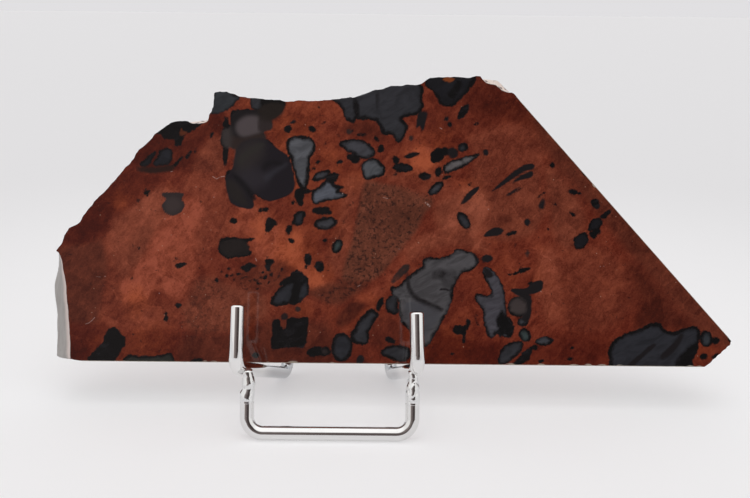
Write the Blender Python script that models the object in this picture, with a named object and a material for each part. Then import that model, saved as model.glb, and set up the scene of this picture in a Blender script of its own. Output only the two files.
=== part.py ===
"""A cut and polished slab of mahogany obsidian, leaning on a small easel of bent chromed wire.

Metres, +Z up. X runs along the slab, the polished face looks to -Y, and the easel stands on Z = 0.
The origin is on that surface, under the middle of the whole.
"""

import math

import bmesh
import bpy
from mathutils import Vector, noise

# Driving dimensions of the slab, in metres and radians.
MM = 0.001
SLAB_THICKNESS = 6 * MM
SLAB_LEAN = math.radians(13)
SLAB_EDGE_HEIGHT = 10.5 * MM
SLAB_EDGE_Y = -1.07 * MM

# The slab's outline on its face, in millimetres: along from its middle, and up from its sawn base.
LEFT_END = [(-84.0, 0.6), (-84.4, 13.0), (-84.9, 17.4), (-84.3, 27.5)]
SHOULDER = [
    (-84.3, 27.5), (-82.7, 30.0), (-81.0, 33.5), (-78.6, 35.0), (-76.1, 38.6), (-71.4, 43.5),
    (-67.0, 48.6), (-64.0, 52.8), (-60.3, 56.7), (-55.8, 60.0), (-47.1, 60.8),
]
STEP_UP = [(-47.1, 60.8), (-45.7, 62.8), (-45.0, 67.5), (-42.2, 67.8)]
TOP = [
    (-42.2, 67.8), (-38.9, 66.6), (-33.2, 66.0), (-27.4, 65.6), (-16.1, 65.8), (-11.2, 66.7),
    (-6.7, 68.0), (-1.2, 69.5), (6.8, 70.2), (8.7, 71.8), (21.0, 72.1), (26.1, 71.5),
    (28.1, 69.5), (30.6, 67.1),
]
SAWN_DIAGONAL = [(30.6, 67.1), (84.9, 6.6)]
TIP = [(84.9, 6.6), (80.9, 3.1), (78.0, 0.0)]
SAWN_BASE = [(78.0, 0.0), (-77.8, 0.0)]
LOWER_CORNER = [(-77.8, 0.0), (-80.2, 0.5)]
END_FOOT = [(-80.2, 0.5), (-84.0, 0.6)]
STRETCHES = [
    (LEFT_END, "end"), (SHOULDER, "broken"), (STEP_UP, "broken"), (TOP, "broken"),
    (SAWN_DIAGONAL, "sawn"), (TIP, "broken"), (SAWN_BASE, "sawn"), (LOWER_CORNER, "broken"),
    (END_FOOT, "foot"),
]

# How the broken edges run: spacing of their points, and how far the glass stands in and out.
BROKEN_STEP = 1.2 * MM
SAWN_STEP = 12 * MM
LAYERS = (0.0, 0.1, 0.25, 0.42, 0.6, 0.8, 1.0)
EDGE_RELIEF = 0.3 * MM
EDGE_SCALE = 3.5 * MM
BACK_INSET = 1.3 * MM
BACK_INSET_SWING = 1.1 * MM
BACK_SCALE = 14 * MM
SAWN_CHAMFER = 0.2 * MM

# The sloping break at the left end: how far the polished face stops short of it, and up to where.
END_INSET = 3.8 * MM
END_TOP = 27.5 * MM

# Flakes struck off the edge of the polished face: along, up, half width and how far each bites in.
FLAKES = [
    (-48.9, 60.6, 2.6, 1.0), (26.3, 71.6, 4.6, 1.7), (-79.5, 34.6, 2.0, 0.8), (-62.0, 55.0, 2.4, 0.7),
    (-8.5, 67.4, 2.6, 0.7), (81.5, 3.4, 3.2, 1.1),
]
FLAKE_LAYER = 0.35

# Driving dimensions of the easel.
WIRE_RADIUS = 1.6 * MM
GAP = 0.3 * MM
ARM_SLOPE = math.radians(24)
HOOK_REACH = 18.8 * MM
HOOK_BEND = 3.2 * MM
REAR_BEND = 3.2 * MM
BACKREST_LEAN = math.radians(2.4)
BACKREST_CORNER = 8 * MM
LEG_BEND = 3.7 * MM
LEG_TOP_REACH = 16.7 * MM
BAR_REACH = 19.9 * MM
BAR_HEIGHT = 1.55 * MM
BEND_STEPS = 7

# The two sides of the hand-bent easel: along at the hook's tip, the front bend, the rear bend and
# the leg, and how high the hook's tip stands above the slab's base, measured up the slab.
LEFT_SIDE = {"tip": -36.6, "front": -36.9, "rear": -27.2, "leg": -34.4, "rise": 16.3}
RIGHT_SIDE = {"tip": 4.4, "front": 4.8, "rear": 0.7, "leg": 3.8, "rise": 15.1}

MAHOGANY = (0.17, 0.045, 0.03)
CHROME = (0.78, 0.79, 0.8)


def clear_scene():
    for thing in list(bpy.data.objects):
        bpy.data.objects.remove(thing, do_unlink=True)


def material(name, color, roughness, metallic):
    made = bpy.data.materials.new(name)
    made.use_nodes = True
    shader = made.node_tree.nodes["Principled BSDF"]
    shader.inputs["Base Color"].default_value = (*color, 1.0)
    shader.inputs["Roughness"].default_value = roughness
    shader.inputs["Metallic"].default_value = metallic
    return made


def spaced(points, step):
    """Points along a line of straight runs, near to the step apart, without the last one."""
    found = []
    for start, end in zip(points, points[1:]):
        start = Vector(start) * MM
        end = Vector(end) * MM
        count = max(1, round((end - start).length / step))
        found += [start.lerp(end, k / count) for k in range(count)]
    return found


def slab_outline():
    """The outer outline as (point, kind) pairs, clockwise as the polished face is seen."""
    outline = []
    for points, kind in STRETCHES:
        step = SAWN_STEP if kind in ("sawn", "foot") else BROKEN_STEP
        outline += [(point, kind) for point in spaced(points, step)]
    return outline


def inward(outline, index):
    """The direction into the slab at one point of the outline: level at the sloping left end."""
    if outline[index][1] == "end":
        return Vector((1, 0))
    before = outline[index - 1][0]
    after = outline[(index + 1) % len(outline)][0]
    along = (after - before).normalized()
    return Vector((along.y, -along.x))


def flake_bite(point):
    """How far the struck flakes take the polished face back at a point of the outline."""
    bite = 0.0
    for along, up, half_width, depth in FLAKES:
        away = (point - Vector((along, up)) * MM).length / (half_width * MM)
        if away < 1:
            bite = max(bite, depth * MM * math.sqrt(1 - away * away))
    return bite


def edge_inset(point, kind, layer):
    """How far inside the outer outline the edge lies, from the polished face, 0, to the back, 1."""
    if kind == "foot":
        return 0.0
    if kind == "sawn":
        return SAWN_CHAMFER if layer in (0.0, 1.0) else 0.0
    relief = EDGE_RELIEF * noise.noise(Vector((point.x, point.y, layer * SLAB_THICKNESS)) / EDGE_SCALE)
    if kind == "end":
        height = min(1.0, max(0.0, 1 - point.y / END_TOP))
        return relief + END_INSET * height**0.45 * (1 - layer) ** 1.4
    swing = BACK_INSET_SWING * noise.noise(Vector((point.x, point.y, 0)) / BACK_SCALE)
    inset = relief + (BACK_INSET + swing) * layer**2
    return inset + flake_bite(point) * max(0.0, 1 - layer / FLAKE_LAYER)


def slab():
    """A loft from the polished face to the back, layer by layer, because every layer differs."""
    outline = slab_outline()
    mesh = bmesh.new()
    rings = []
    for layer in LAYERS:
        ring = []
        for index, (point, kind) in enumerate(outline):
            place = point + inward(outline, index) * edge_inset(point, kind, layer)
            ring.append(mesh.verts.new((place.x, layer * SLAB_THICKNESS, place.y)))
        rings.append(ring)
    mesh.faces.new(rings[0])
    mesh.faces.new(rings[-1])
    for ring, deeper in zip(rings, rings[1:]):
        for k in range(len(ring)):
            mesh.faces.new((ring[k - 1], ring[k], deeper[k], deeper[k - 1]))
    bmesh.ops.triangulate(mesh, faces=mesh.faces, ngon_method="EAR_CLIP")
    bmesh.ops.recalc_face_normals(mesh, faces=mesh.faces)
    data = bpy.data.meshes.new("obsidian_slab")
    mesh.to_mesh(data)
    mesh.free()
    data.shade_smooth()
    data.set_sharp_from_angle(angle=math.radians(25))
    made = bpy.data.objects.new("obsidian_slab", data)
    made.rotation_euler.x = -SLAB_LEAN
    made.location = (0, SLAB_EDGE_Y, SLAB_EDGE_HEIGHT)
    data.materials.append(material("mahogany_obsidian", MAHOGANY, 0.08, 0.0))
    return made


def rounded(corners, radii):
    """A centre line through the corners, each turned on an arc of its own radius."""
    line = [corners[0]]
    for before, corner, after, radius in zip(corners, corners[1:], corners[2:], radii):
        back = (before - corner).normalized()
        ahead = (after - corner).normalized()
        half = back.angle(ahead) / 2
        reach = radius / math.tan(half)
        centre = corner + (back + ahead).normalized() * (radius / math.sin(half))
        start = corner + back * reach - centre
        end = corner + ahead * reach - centre
        turned = [start.slerp(end, k / BEND_STEPS).normalized() for k in range(BEND_STEPS + 1)]
        line += [centre + direction * radius for direction in turned]
    line.append(corners[-1])
    return line


def wire(name, line, finish):
    """A round wire along a centre line, cut square at both ends."""
    curve = bpy.data.curves.new(name, "CURVE")
    curve.dimensions = "3D"
    curve.bevel_depth = WIRE_RADIUS
    curve.bevel_resolution = 4
    curve.use_fill_caps = True
    spline = curve.splines.new("POLY")
    spline.points.add(len(line) - 1)
    for point, place in zip(spline.points, line):
        point.co = (*place, 1)
    curve.materials.append(finish)
    return bpy.data.objects.new(name, curve)


def arm_height(y):
    """Height of the arms' centre line: it passes one gap under the slab's front lower edge."""
    clear = WIRE_RADIUS + GAP
    start_y = SLAB_EDGE_Y - clear * math.sin(ARM_SLOPE)
    start_z = SLAB_EDGE_HEIGHT - clear * math.cos(ARM_SLOPE)
    return start_z - (y - start_y) * math.tan(ARM_SLOPE)


def hook_tip(side):
    """The hook stands parallel to the slab, so its tip is reached out from the slab's face."""
    up = side["rise"] * MM
    y = SLAB_EDGE_Y + up * math.sin(SLAB_LEAN) - HOOK_REACH * math.cos(SLAB_LEAN)
    z = SLAB_EDGE_HEIGHT + up * math.cos(SLAB_LEAN) + HOOK_REACH * math.sin(SLAB_LEAN)
    return Vector((side["tip"] * MM, y, z))


def front_corner(side):
    """Where the line of the hook meets the line of the arm."""
    tip = hook_tip(side)
    slope = math.tan(ARM_SLOPE)
    drop = (tip.z - arm_height(tip.y)) / (math.cos(SLAB_LEAN) + slope * math.sin(SLAB_LEAN))
    y = tip.y - drop * math.sin(SLAB_LEAN)
    return Vector((side["front"] * MM, y, arm_height(y)))


def rear_corner(side):
    """Where arm and back-rest meet, so that the bend between them just touches the table."""
    bend_start = WIRE_RADIUS + REAR_BEND * (1 - math.cos(ARM_SLOPE))
    turn = math.pi / 2 - BACKREST_LEAN + ARM_SLOPE
    reach = REAR_BEND * math.tan(turn / 2)
    z = bend_start - reach * math.sin(ARM_SLOPE)
    y = SLAB_EDGE_Y + (arm_height(SLAB_EDGE_Y) - z) / math.tan(ARM_SLOPE)
    return Vector((side["rear"] * MM, y, z))


def backrest_top(side):
    """Where the back-rest comes to one gap from the back of the slab."""
    foot = rear_corner(side)
    from_edge_y = foot.y - SLAB_EDGE_Y
    from_edge_z = foot.z - SLAB_EDGE_HEIGHT
    behind_face = from_edge_y * math.cos(SLAB_LEAN) - from_edge_z * math.sin(SLAB_LEAN)
    spare = behind_face - SLAB_THICKNESS - WIRE_RADIUS - GAP
    length = spare / math.sin(SLAB_LEAN - BACKREST_LEAN)
    y = foot.y + length * math.sin(BACKREST_LEAN)
    z = foot.z + length * math.cos(BACKREST_LEAN)
    return Vector((foot.x, y, z))


def cradle(finish):
    """One wire: hook, arm, rear bend, back-rest over and down, and the same on the other side."""
    half = [
        [hook_tip(side), front_corner(side), rear_corner(side), backrest_top(side)]
        for side in (LEFT_SIDE, RIGHT_SIDE)
    ]
    corners = half[0] + half[1][::-1]
    radii = [HOOK_BEND, REAR_BEND, BACKREST_CORNER, BACKREST_CORNER, REAR_BEND, HOOK_BEND]
    return wire("cradle_wire", rounded(corners, radii), finish)


def front_leg(finish):
    """The U-shaped foot: up to one gap under each arm, with its bar on the table."""
    top_y = SLAB_EDGE_Y - LEG_TOP_REACH
    top = arm_height(top_y) - (WIRE_RADIUS + GAP) / math.cos(ARM_SLOPE) - GAP
    ends = []
    for side in (LEFT_SIDE, RIGHT_SIDE):
        foot = Vector((side["leg"] * MM, SLAB_EDGE_Y - BAR_REACH, BAR_HEIGHT))
        ends.append([Vector((side["leg"] * MM, top_y, top)), foot])
    return wire("front_leg", rounded(ends[0] + ends[1][::-1], [LEG_BEND, LEG_BEND]), finish)


def main():
    clear_scene()
    parts = bpy.data.collections.new("mahogany_obsidian_on_easel")
    bpy.context.scene.collection.children.link(parts)
    chrome = material("chromed_wire", CHROME, 0.08, 1.0)
    for made in (slab(), cradle(chrome), front_leg(chrome)):
        parts.objects.link(made)


main()
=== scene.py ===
"""The looks of a polished slab of mahogany obsidian that leans on a small chromed wire easel.

Metres, +Z up. X runs along the slab and its polished face looks to -Y. The markings on that face are
traced as outlines, in the pixels of the photograph, which a fixed camera turns into places on it.
"""

import math

import bmesh
import bpy
import numpy as np
from mathutils import Matrix, Vector, noise


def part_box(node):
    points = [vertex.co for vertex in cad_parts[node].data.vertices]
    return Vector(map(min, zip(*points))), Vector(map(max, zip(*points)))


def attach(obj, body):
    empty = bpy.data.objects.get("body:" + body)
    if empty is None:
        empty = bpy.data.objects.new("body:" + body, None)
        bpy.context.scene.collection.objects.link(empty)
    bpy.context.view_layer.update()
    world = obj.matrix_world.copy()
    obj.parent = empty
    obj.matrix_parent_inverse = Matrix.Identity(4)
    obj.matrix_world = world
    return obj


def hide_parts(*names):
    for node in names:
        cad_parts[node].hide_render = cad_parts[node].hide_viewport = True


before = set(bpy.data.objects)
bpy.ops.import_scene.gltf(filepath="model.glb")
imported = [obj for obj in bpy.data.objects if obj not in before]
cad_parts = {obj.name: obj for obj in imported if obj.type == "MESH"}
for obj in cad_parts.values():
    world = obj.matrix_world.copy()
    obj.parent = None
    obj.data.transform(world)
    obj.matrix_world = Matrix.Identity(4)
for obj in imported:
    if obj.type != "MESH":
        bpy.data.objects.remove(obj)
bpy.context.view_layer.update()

# The slab as it stands: its polished face leans back, on an edge that the frame places.
MM = 0.001
LEAN = math.radians(13)
THICKNESS = 6 * MM
slab_low, slab_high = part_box("obsidian_slab")
EDGE_Y = slab_low.y
EDGE_Z = slab_low.z + THICKNESS * math.sin(LEAN)

# The photograph, in pixels, and where its lens looks square onto the slab.
PHOTO_WIDTH = 750
PHOTO_HEIGHT = 498
FOCAL_PIXELS = 900
SQUARE_ON_X = 341
SQUARE_ON_Y = 219
SQUARE_ON_ALONG = -13.108 * MM
SQUARE_ON_UP = 36.15 * MM
PIXEL = 0.25 * MM
ROLL = math.radians(0.55)
SENSOR = 36
NEAREST_SEEN = 0.01

# Directions on the leaning face: along it, up it and out of it.
ALONG_FACE = Vector((1, 0, 0))
UP_FACE = Vector((0, math.sin(LEAN), math.cos(LEAN)))
OUT_OF_FACE = Vector((0, -math.cos(LEAN), math.sin(LEAN)))

# The outline on the face, in millimetres: along from its middle, and up from its sawn base.
LEFT_END = [(-84.0, 0.9), (-84.1, 10.0), (-84.3, 27.5)]
SHOULDER = [
    (-84.3, 27.5), (-82.7, 30.0), (-81.0, 33.5), (-78.6, 35.0), (-76.1, 38.6), (-71.4, 43.5),
    (-67.0, 48.6), (-64.0, 52.8), (-60.3, 56.7), (-55.8, 60.0), (-47.1, 60.8),
]
STEP_UP = [(-47.1, 60.8), (-45.7, 62.8), (-45.0, 67.5), (-42.2, 67.8)]
TOP = [
    (-42.2, 67.8), (-38.9, 66.6), (-33.2, 66.0), (-27.4, 65.6), (-16.1, 65.8), (-11.2, 66.7),
    (-6.7, 68.0), (-1.2, 69.5), (6.8, 70.2), (8.7, 71.8), (21.0, 72.1), (26.1, 71.5),
    (28.1, 69.5), (30.6, 67.1),
]
SAWN_DIAGONAL = [(30.6, 67.1), (84.9, 6.6)]
TIP = [(84.9, 6.6), (84.5, 5.3), (82.3, 3.5), (80.2, 1.9), (79.3, 0.9), (78.0, 0.0)]
SAWN_BASE = [(78.0, 0.0), (-77.8, 0.0)]
LOWER_CORNER = [(-77.8, 0.0), (-80.2, 0.5)]
END_FOOT = [(-80.2, 0.5), (-83.4, 0.45), (-84.0, 0.9)]

# The four sides of the face, each from left to right or from bottom to top, and how they were made.
BOTTOM_SIDE = [(END_FOOT[::-1], "foot"), (LOWER_CORNER[::-1], "broken"), (SAWN_BASE[::-1], "sawn")]
RIGHT_SIDE = [(TIP[::-1], "broken")]
TOP_SIDE = [(SHOULDER, "broken"), (STEP_UP, "broken"), (TOP, "broken"), (SAWN_DIAGONAL, "sawn")]
LEFT_SIDE = [(LEFT_END, "end")]

# How finely the slab is meshed, and how deep each layer of its edge lies.
COLUMNS = 400
ROWS = 150
LAYERS = (0.0, 0.04, 0.1, 0.17, 0.25, 0.34, 0.44, 0.55, 0.67, 0.8, 0.92, 1.0)

# How the edges run: the break, the saw's small chamfer, and the sloping break at the left end.
EDGE_RELIEF = 0.3 * MM
EDGE_SCALE = 3.5 * MM
RIPPLE = 0.1 * MM
RIPPLE_SCALE = 0.9 * MM
SERRATION = 0.3 * MM
SERRATION_SCALE = 2.2 * MM
BACK_INSET = 1.3 * MM
BACK_INSET_SWING = 1.1 * MM
BACK_SCALE = 14 * MM
SAWN_CHAMFER = 0.18 * MM
END_INSET = 4.6 * MM
END_CREST = 0.5
END_SWELL = 0.9 * MM
END_BACK = 4 * MM
END_TOP = 27.5 * MM
END_BULGE = 1.1 * MM
END_BULGE_UP = 17.6 * MM
END_BULGE_REACH = 4.4 * MM
FOOT_FROM = -80.2 * MM
FOOT_TO = -84.0 * MM
BLEND_STEPS = 3

# The layers where the front chamfer ends, the back one begins and the serration ends; then how the left end
# curves, how it grows towards its foot, and the share of the relief that it keeps.
CHAMFER_LAYER = 0.04
BACK_CHAMFER_LAYER = 0.92
SERRATION_LAYER = 0.2
END_CURVE = 1.4
END_GROWTH = 0.45
END_RELIEF = 0.6

# Flakes struck off the polished edge: along, up, half width, bite (mm) and how pale the scar is, a painted
# light that shines through the thin flake.
FLAKES = [
    (-48.9, 60.6, 2.6, 1.0, 1.0), (26.3, 71.6, 4.6, 1.7, 1.0), (-79.5, 34.6, 2.0, 0.3, 0.0),
    (-62.0, 55.0, 2.4, 0.4, 0.0), (-8.5, 67.4, 2.6, 0.4, 0.0),
]
FLAKE_LAYER = 0.35

# Crescents chipped from the sawn edges: a pixel of the photograph, half width and depth (mm).
CRESCENTS = [
    (205, 361, 0.7, 0.3), (214, 361, 0.9, 0.25), (268, 361, 0.6, 0.25), (293, 362, 1.3, 0.35),
    (332, 362, 0.7, 0.25), (398, 363, 0.8, 0.2), (510, 364, 1.2, 0.3), (541, 364, 1.0, 0.3),
    (574, 365, 1.2, 0.25), (588, 365, 1.0, 0.35), (602, 365, 1.1, 0.3), (620, 366, 0.8, 0.25),
    (690, 366, 0.9, 0.25), (700, 366, 0.7, 0.25), (594, 186, 0.7, 0.3), (560, 152, 0.5, 0.2),
]

# Colours of the stone, linear.
SLATE = (0.115, 0.117, 0.13)
BLUE_SLATE = (0.11, 0.118, 0.143)
PALE_SLATE = (0.095, 0.1, 0.11)
SMOKE = (0.062, 0.061, 0.07)
LIT_SMOKE = (0.136, 0.122, 0.124)
WARM_SMOKE = (0.09, 0.084, 0.089)
VIOLET_SMOKE = (0.078, 0.073, 0.086)
DIM = (0.038, 0.038, 0.044)
DIM_BLUE = (0.03, 0.0305, 0.037)
BLUE_NIGHT = (0.021, 0.0215, 0.027)
NIGHT = (0.015, 0.0148, 0.018)
SEA_GREY = (0.04, 0.044, 0.05)
GREEN_GREY = (0.033, 0.034, 0.029)
TEAL = (0.045, 0.06, 0.06)
PLUM = (0.046, 0.033, 0.033)
DEEP_PLUM = (0.03, 0.022, 0.022)
UMBER = (0.03, 0.019, 0.017)
SOOT = (0.0135, 0.0115, 0.0125)
GRAPHITE = (0.085, 0.068, 0.071)

# Black glass with a grey glassy heart: colour of the heart, width of the black rim, and outline.
HEARTED = {
    "teardrop": (SLATE, 2.8, [
        (285.6, 143), (289, 138), (294, 136), (301, 135.4), (309, 137), (315, 143), (315, 152),
        (311, 158), (310, 168), (308.6, 181), (306.6, 188), (301.5, 189), (297, 182), (294, 172),
        (291, 160), (287, 152)]),
    "corner": (SEA_GREY, 1.0, [
        (215.5, 88), (228, 87), (233, 93), (240, 97), (237, 101), (233, 106), (226, 111), (215, 114),
        (209, 112.5), (211, 102)]),
    "small_corner": (DIM, 1.0, [
        (251, 94), (257, 94), (262, 100), (260.7, 109), (255.6, 111), (251, 107)]),
    "shoulder_large": (BLUE_NIGHT, 1.4, [
        (153, 162), (157, 157), (159.4, 150.5), (166, 147.4), (172, 150.5), (172.4, 159), (168, 164.6),
        (156, 166)]),
    "shoulder_small": (NIGHT, 1.5, [
        (139.6, 163), (144, 159.5), (150.5, 154), (156.5, 151.5), (152, 161), (146.6, 166.5),
        (141, 166.5)]),
    "claw_upper": (SMOKE, 2.2, [
        (311, 180), (315.6, 173.5), (323, 170.3), (331, 170.3), (329.6, 174.8), (325, 179), (318, 181.4)]),
    "claw": (BLUE_SLATE, 2.2, [
        (311.8, 191.4), (317, 187.6), (324.5, 181.2), (331, 177.3), (334, 181), (334.7, 186), (345, 188),
        (339, 191), (346.8, 193.6), (346.2, 197.1), (334.7, 200.3), (324.5, 201.6), (315.6, 204.8),
        (311.8, 201.6)]),
    "below_cluster": (DIM_BLUE, 2.4, [
        (295, 213), (300, 210.5), (305.4, 211.8), (304, 219.4), (300.3, 225.8), (292.6, 224.5),
        (293.3, 218)]),
    "two_lobed_left": (DIM_BLUE, 2.0, [
        (270.2, 301.6), (274, 294), (279.7, 287.6), (285, 283), (292, 280.5), (296.4, 282), (294.6, 292),
        (292.5, 302), (288, 303.8), (279, 306.7), (272.7, 305.5)]),
    "two_lobed_right": (DIM_BLUE, 1.8, [
        (303.3, 277), (308.4, 280.5), (309.2, 291.4), (307, 296.5), (300.8, 301.6), (297.6, 304.2),
        (294.5, 301.6), (297, 293), (300, 285)]),
    "lower_ellipse": (DIM_BLUE, 2.6, [
        (341, 332.9), (347, 334.5), (352.4, 341), (352.4, 350), (349, 358), (343, 361.6), (336, 360),
        (331.6, 353), (331.6, 343), (335, 336)]),
    "diagonal": (DIM, 2.4, [
        (349.9, 334.8), (354.3, 328.4), (358.2, 320.8), (365.8, 311.8), (372.2, 308.6), (378.6, 314.4),
        (374.7, 322), (369.6, 331), (369, 342.4), (362, 345), (353.1, 342.4)]),
    "lower_lens": (DIM, 2.2, [
        (380, 353.5), (386.4, 346.3), (399, 345), (409, 347.6), (411.5, 353), (409.3, 359), (399, 362.2),
        (387.7, 357.8)]),
    "leaning_bump": (DIM, 2.0, [
        (385, 306.7), (387.5, 297.8), (395.2, 295.3), (398, 303), (397.5, 314), (388.8, 313.1)]),
    "great_patch": (WARM_SMOKE, 1.9, [
        (390.2, 289), (392.5, 286), (397, 286), (405.5, 278.7), (410.6, 273.6), (422, 265.9),
        (422.7, 259.5), (427.2, 257), (440, 257.6), (451.4, 253.8), (456.5, 248.9), (461.6, 249.5),
        (471.8, 251.9), (478.2, 258.3), (478.2, 264.6), (471.8, 271), (462.9, 272.9), (457.8, 280),
        (454, 287.6), (452.7, 299.1), (447.6, 311.8), (441.2, 323.3), (436.1, 333.5), (429.7, 343.7),
        (424.6, 346.9), (418, 342.4), (408.1, 329.7), (401, 322), (399, 313), (398, 301.6),
        (392.1, 295.3)]),
    "mitten": (VIOLET_SMOKE, 1.6, [
        (484.6, 266.6), (492.2, 269.7), (499.9, 278.7), (504.4, 290.2), (505.6, 301.6), (507.6, 316.9),
        (513, 326), (510.1, 333.5), (504.4, 337.3), (498.6, 333.5), (491, 338.6), (485.9, 332.2),
        (483.3, 319.5), (482, 309.3), (474.4, 299.1), (475.7, 293.3), (485.9, 295.3), (491, 294),
        (489.7, 287.6), (483.3, 276.1)]),
    "lower_diagonal": (DIM, 2.0, [
        (522.9, 341.2), (520.3, 352.7), (510, 361.6), (499, 364.5), (498.6, 355.2), (502.4, 347.6),
        (510.1, 342.4)]),
    "top_left_piece": (DIM, 1.8, [
        (326, 92), (333, 101), (338, 104.6), (342.8, 111), (344.7, 118.7), (353, 123), (356, 119.4),
        (355.8, 108), (351.6, 88)]),
    "top_piece": (DIM, 2.6, [
        (352, 88), (356, 108), (356.8, 119.3), (372.1, 120), (378.5, 126.3), (382.3, 134), (387.4, 135.3),
        (392.5, 135.3), (396.3, 141.6), (401.4, 141.6), (406.5, 131.4), (407.8, 125.1), (402.7, 118.7),
        (411.6, 116.1), (419.3, 113.6), (424.4, 105.9), (421.8, 98.3), (424.4, 90.6), (421.2, 84.2),
        (420, 78), (390, 80)]),
    "top_right_piece": (NIGHT, 2.2, [
        (424.4, 83.6), (429, 74), (440, 70), (474, 70), (473.5, 81.7), (467.8, 91.9), (458.8, 100.8),
        (452.4, 106.6), (442.2, 105.3), (437.1, 99.5), (432, 90.6), (425.7, 87.4)]),
    "slanted_grey": (SMOKE, 2.2, [
        (338.9, 144.2), (342.8, 139.7), (356.8, 139.1), (365.7, 141.6), (374.6, 149.3), (375.3, 153.8),
        (370.8, 157.6), (361.9, 158.2), (353, 154.4), (344, 149.3)]),
    "rounded_square": (PALE_SLATE, 2.0, [
        (361.3, 164.6), (364.4, 160.8), (374.6, 158.2), (381, 162), (385.5, 168.4), (383.6, 174.8),
        (373.4, 178.6), (364.4, 179.9), (361.9, 172.2)]),
    "long_lens": (LIT_SMOKE, 1.8, [
        (442.2, 168.4), (444.8, 164.6), (453.7, 159.5), (469, 155.7), (482.5, 152.3), (474.1, 159.5),
        (463.9, 167.1), (452.4, 171.6), (444.8, 173.5)]),
    "bottom_right": (DIM_BLUE, 3.0, [
        (607.8, 353), (611, 344.1), (617.4, 337.7), (627.6, 332.6), (639.1, 328.8), (646.7, 324.4),
        (654.4, 322.4), (660.7, 323.7), (665.8, 330.1), (674.8, 331.4), (682.4, 328.8), (693.9, 325.6),
        (699, 328.8), (700.3, 333.9), (699, 344.1), (697.7, 351.8), (692.6, 360.7), (687, 372),
        (615, 372), (609.7, 359.4)]),
    "link_upper": (NIGHT, 1.6, [
        (588.4, 225.8), (592.2, 219.4), (599.5, 217.3), (602.6, 222), (599.6, 230), (592, 231.5),
        (588.6, 230.5)]),
    "link_lower": (NIGHT, 1.5, [
        (574.4, 237.3), (580.8, 233.5), (585.3, 232.6), (588.6, 238), (587.6, 243.7), (582, 248.8),
        (575, 248.8), (573.8, 242.4)]),
    "foot_grey": (GREEN_GREY, 2.4, [
        (122, 362), (128.2, 354.4), (138.4, 355.8), (157.6, 355.2), (170.3, 353.3), (175.4, 362),
        (175, 372), (123, 372)]),
}

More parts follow.
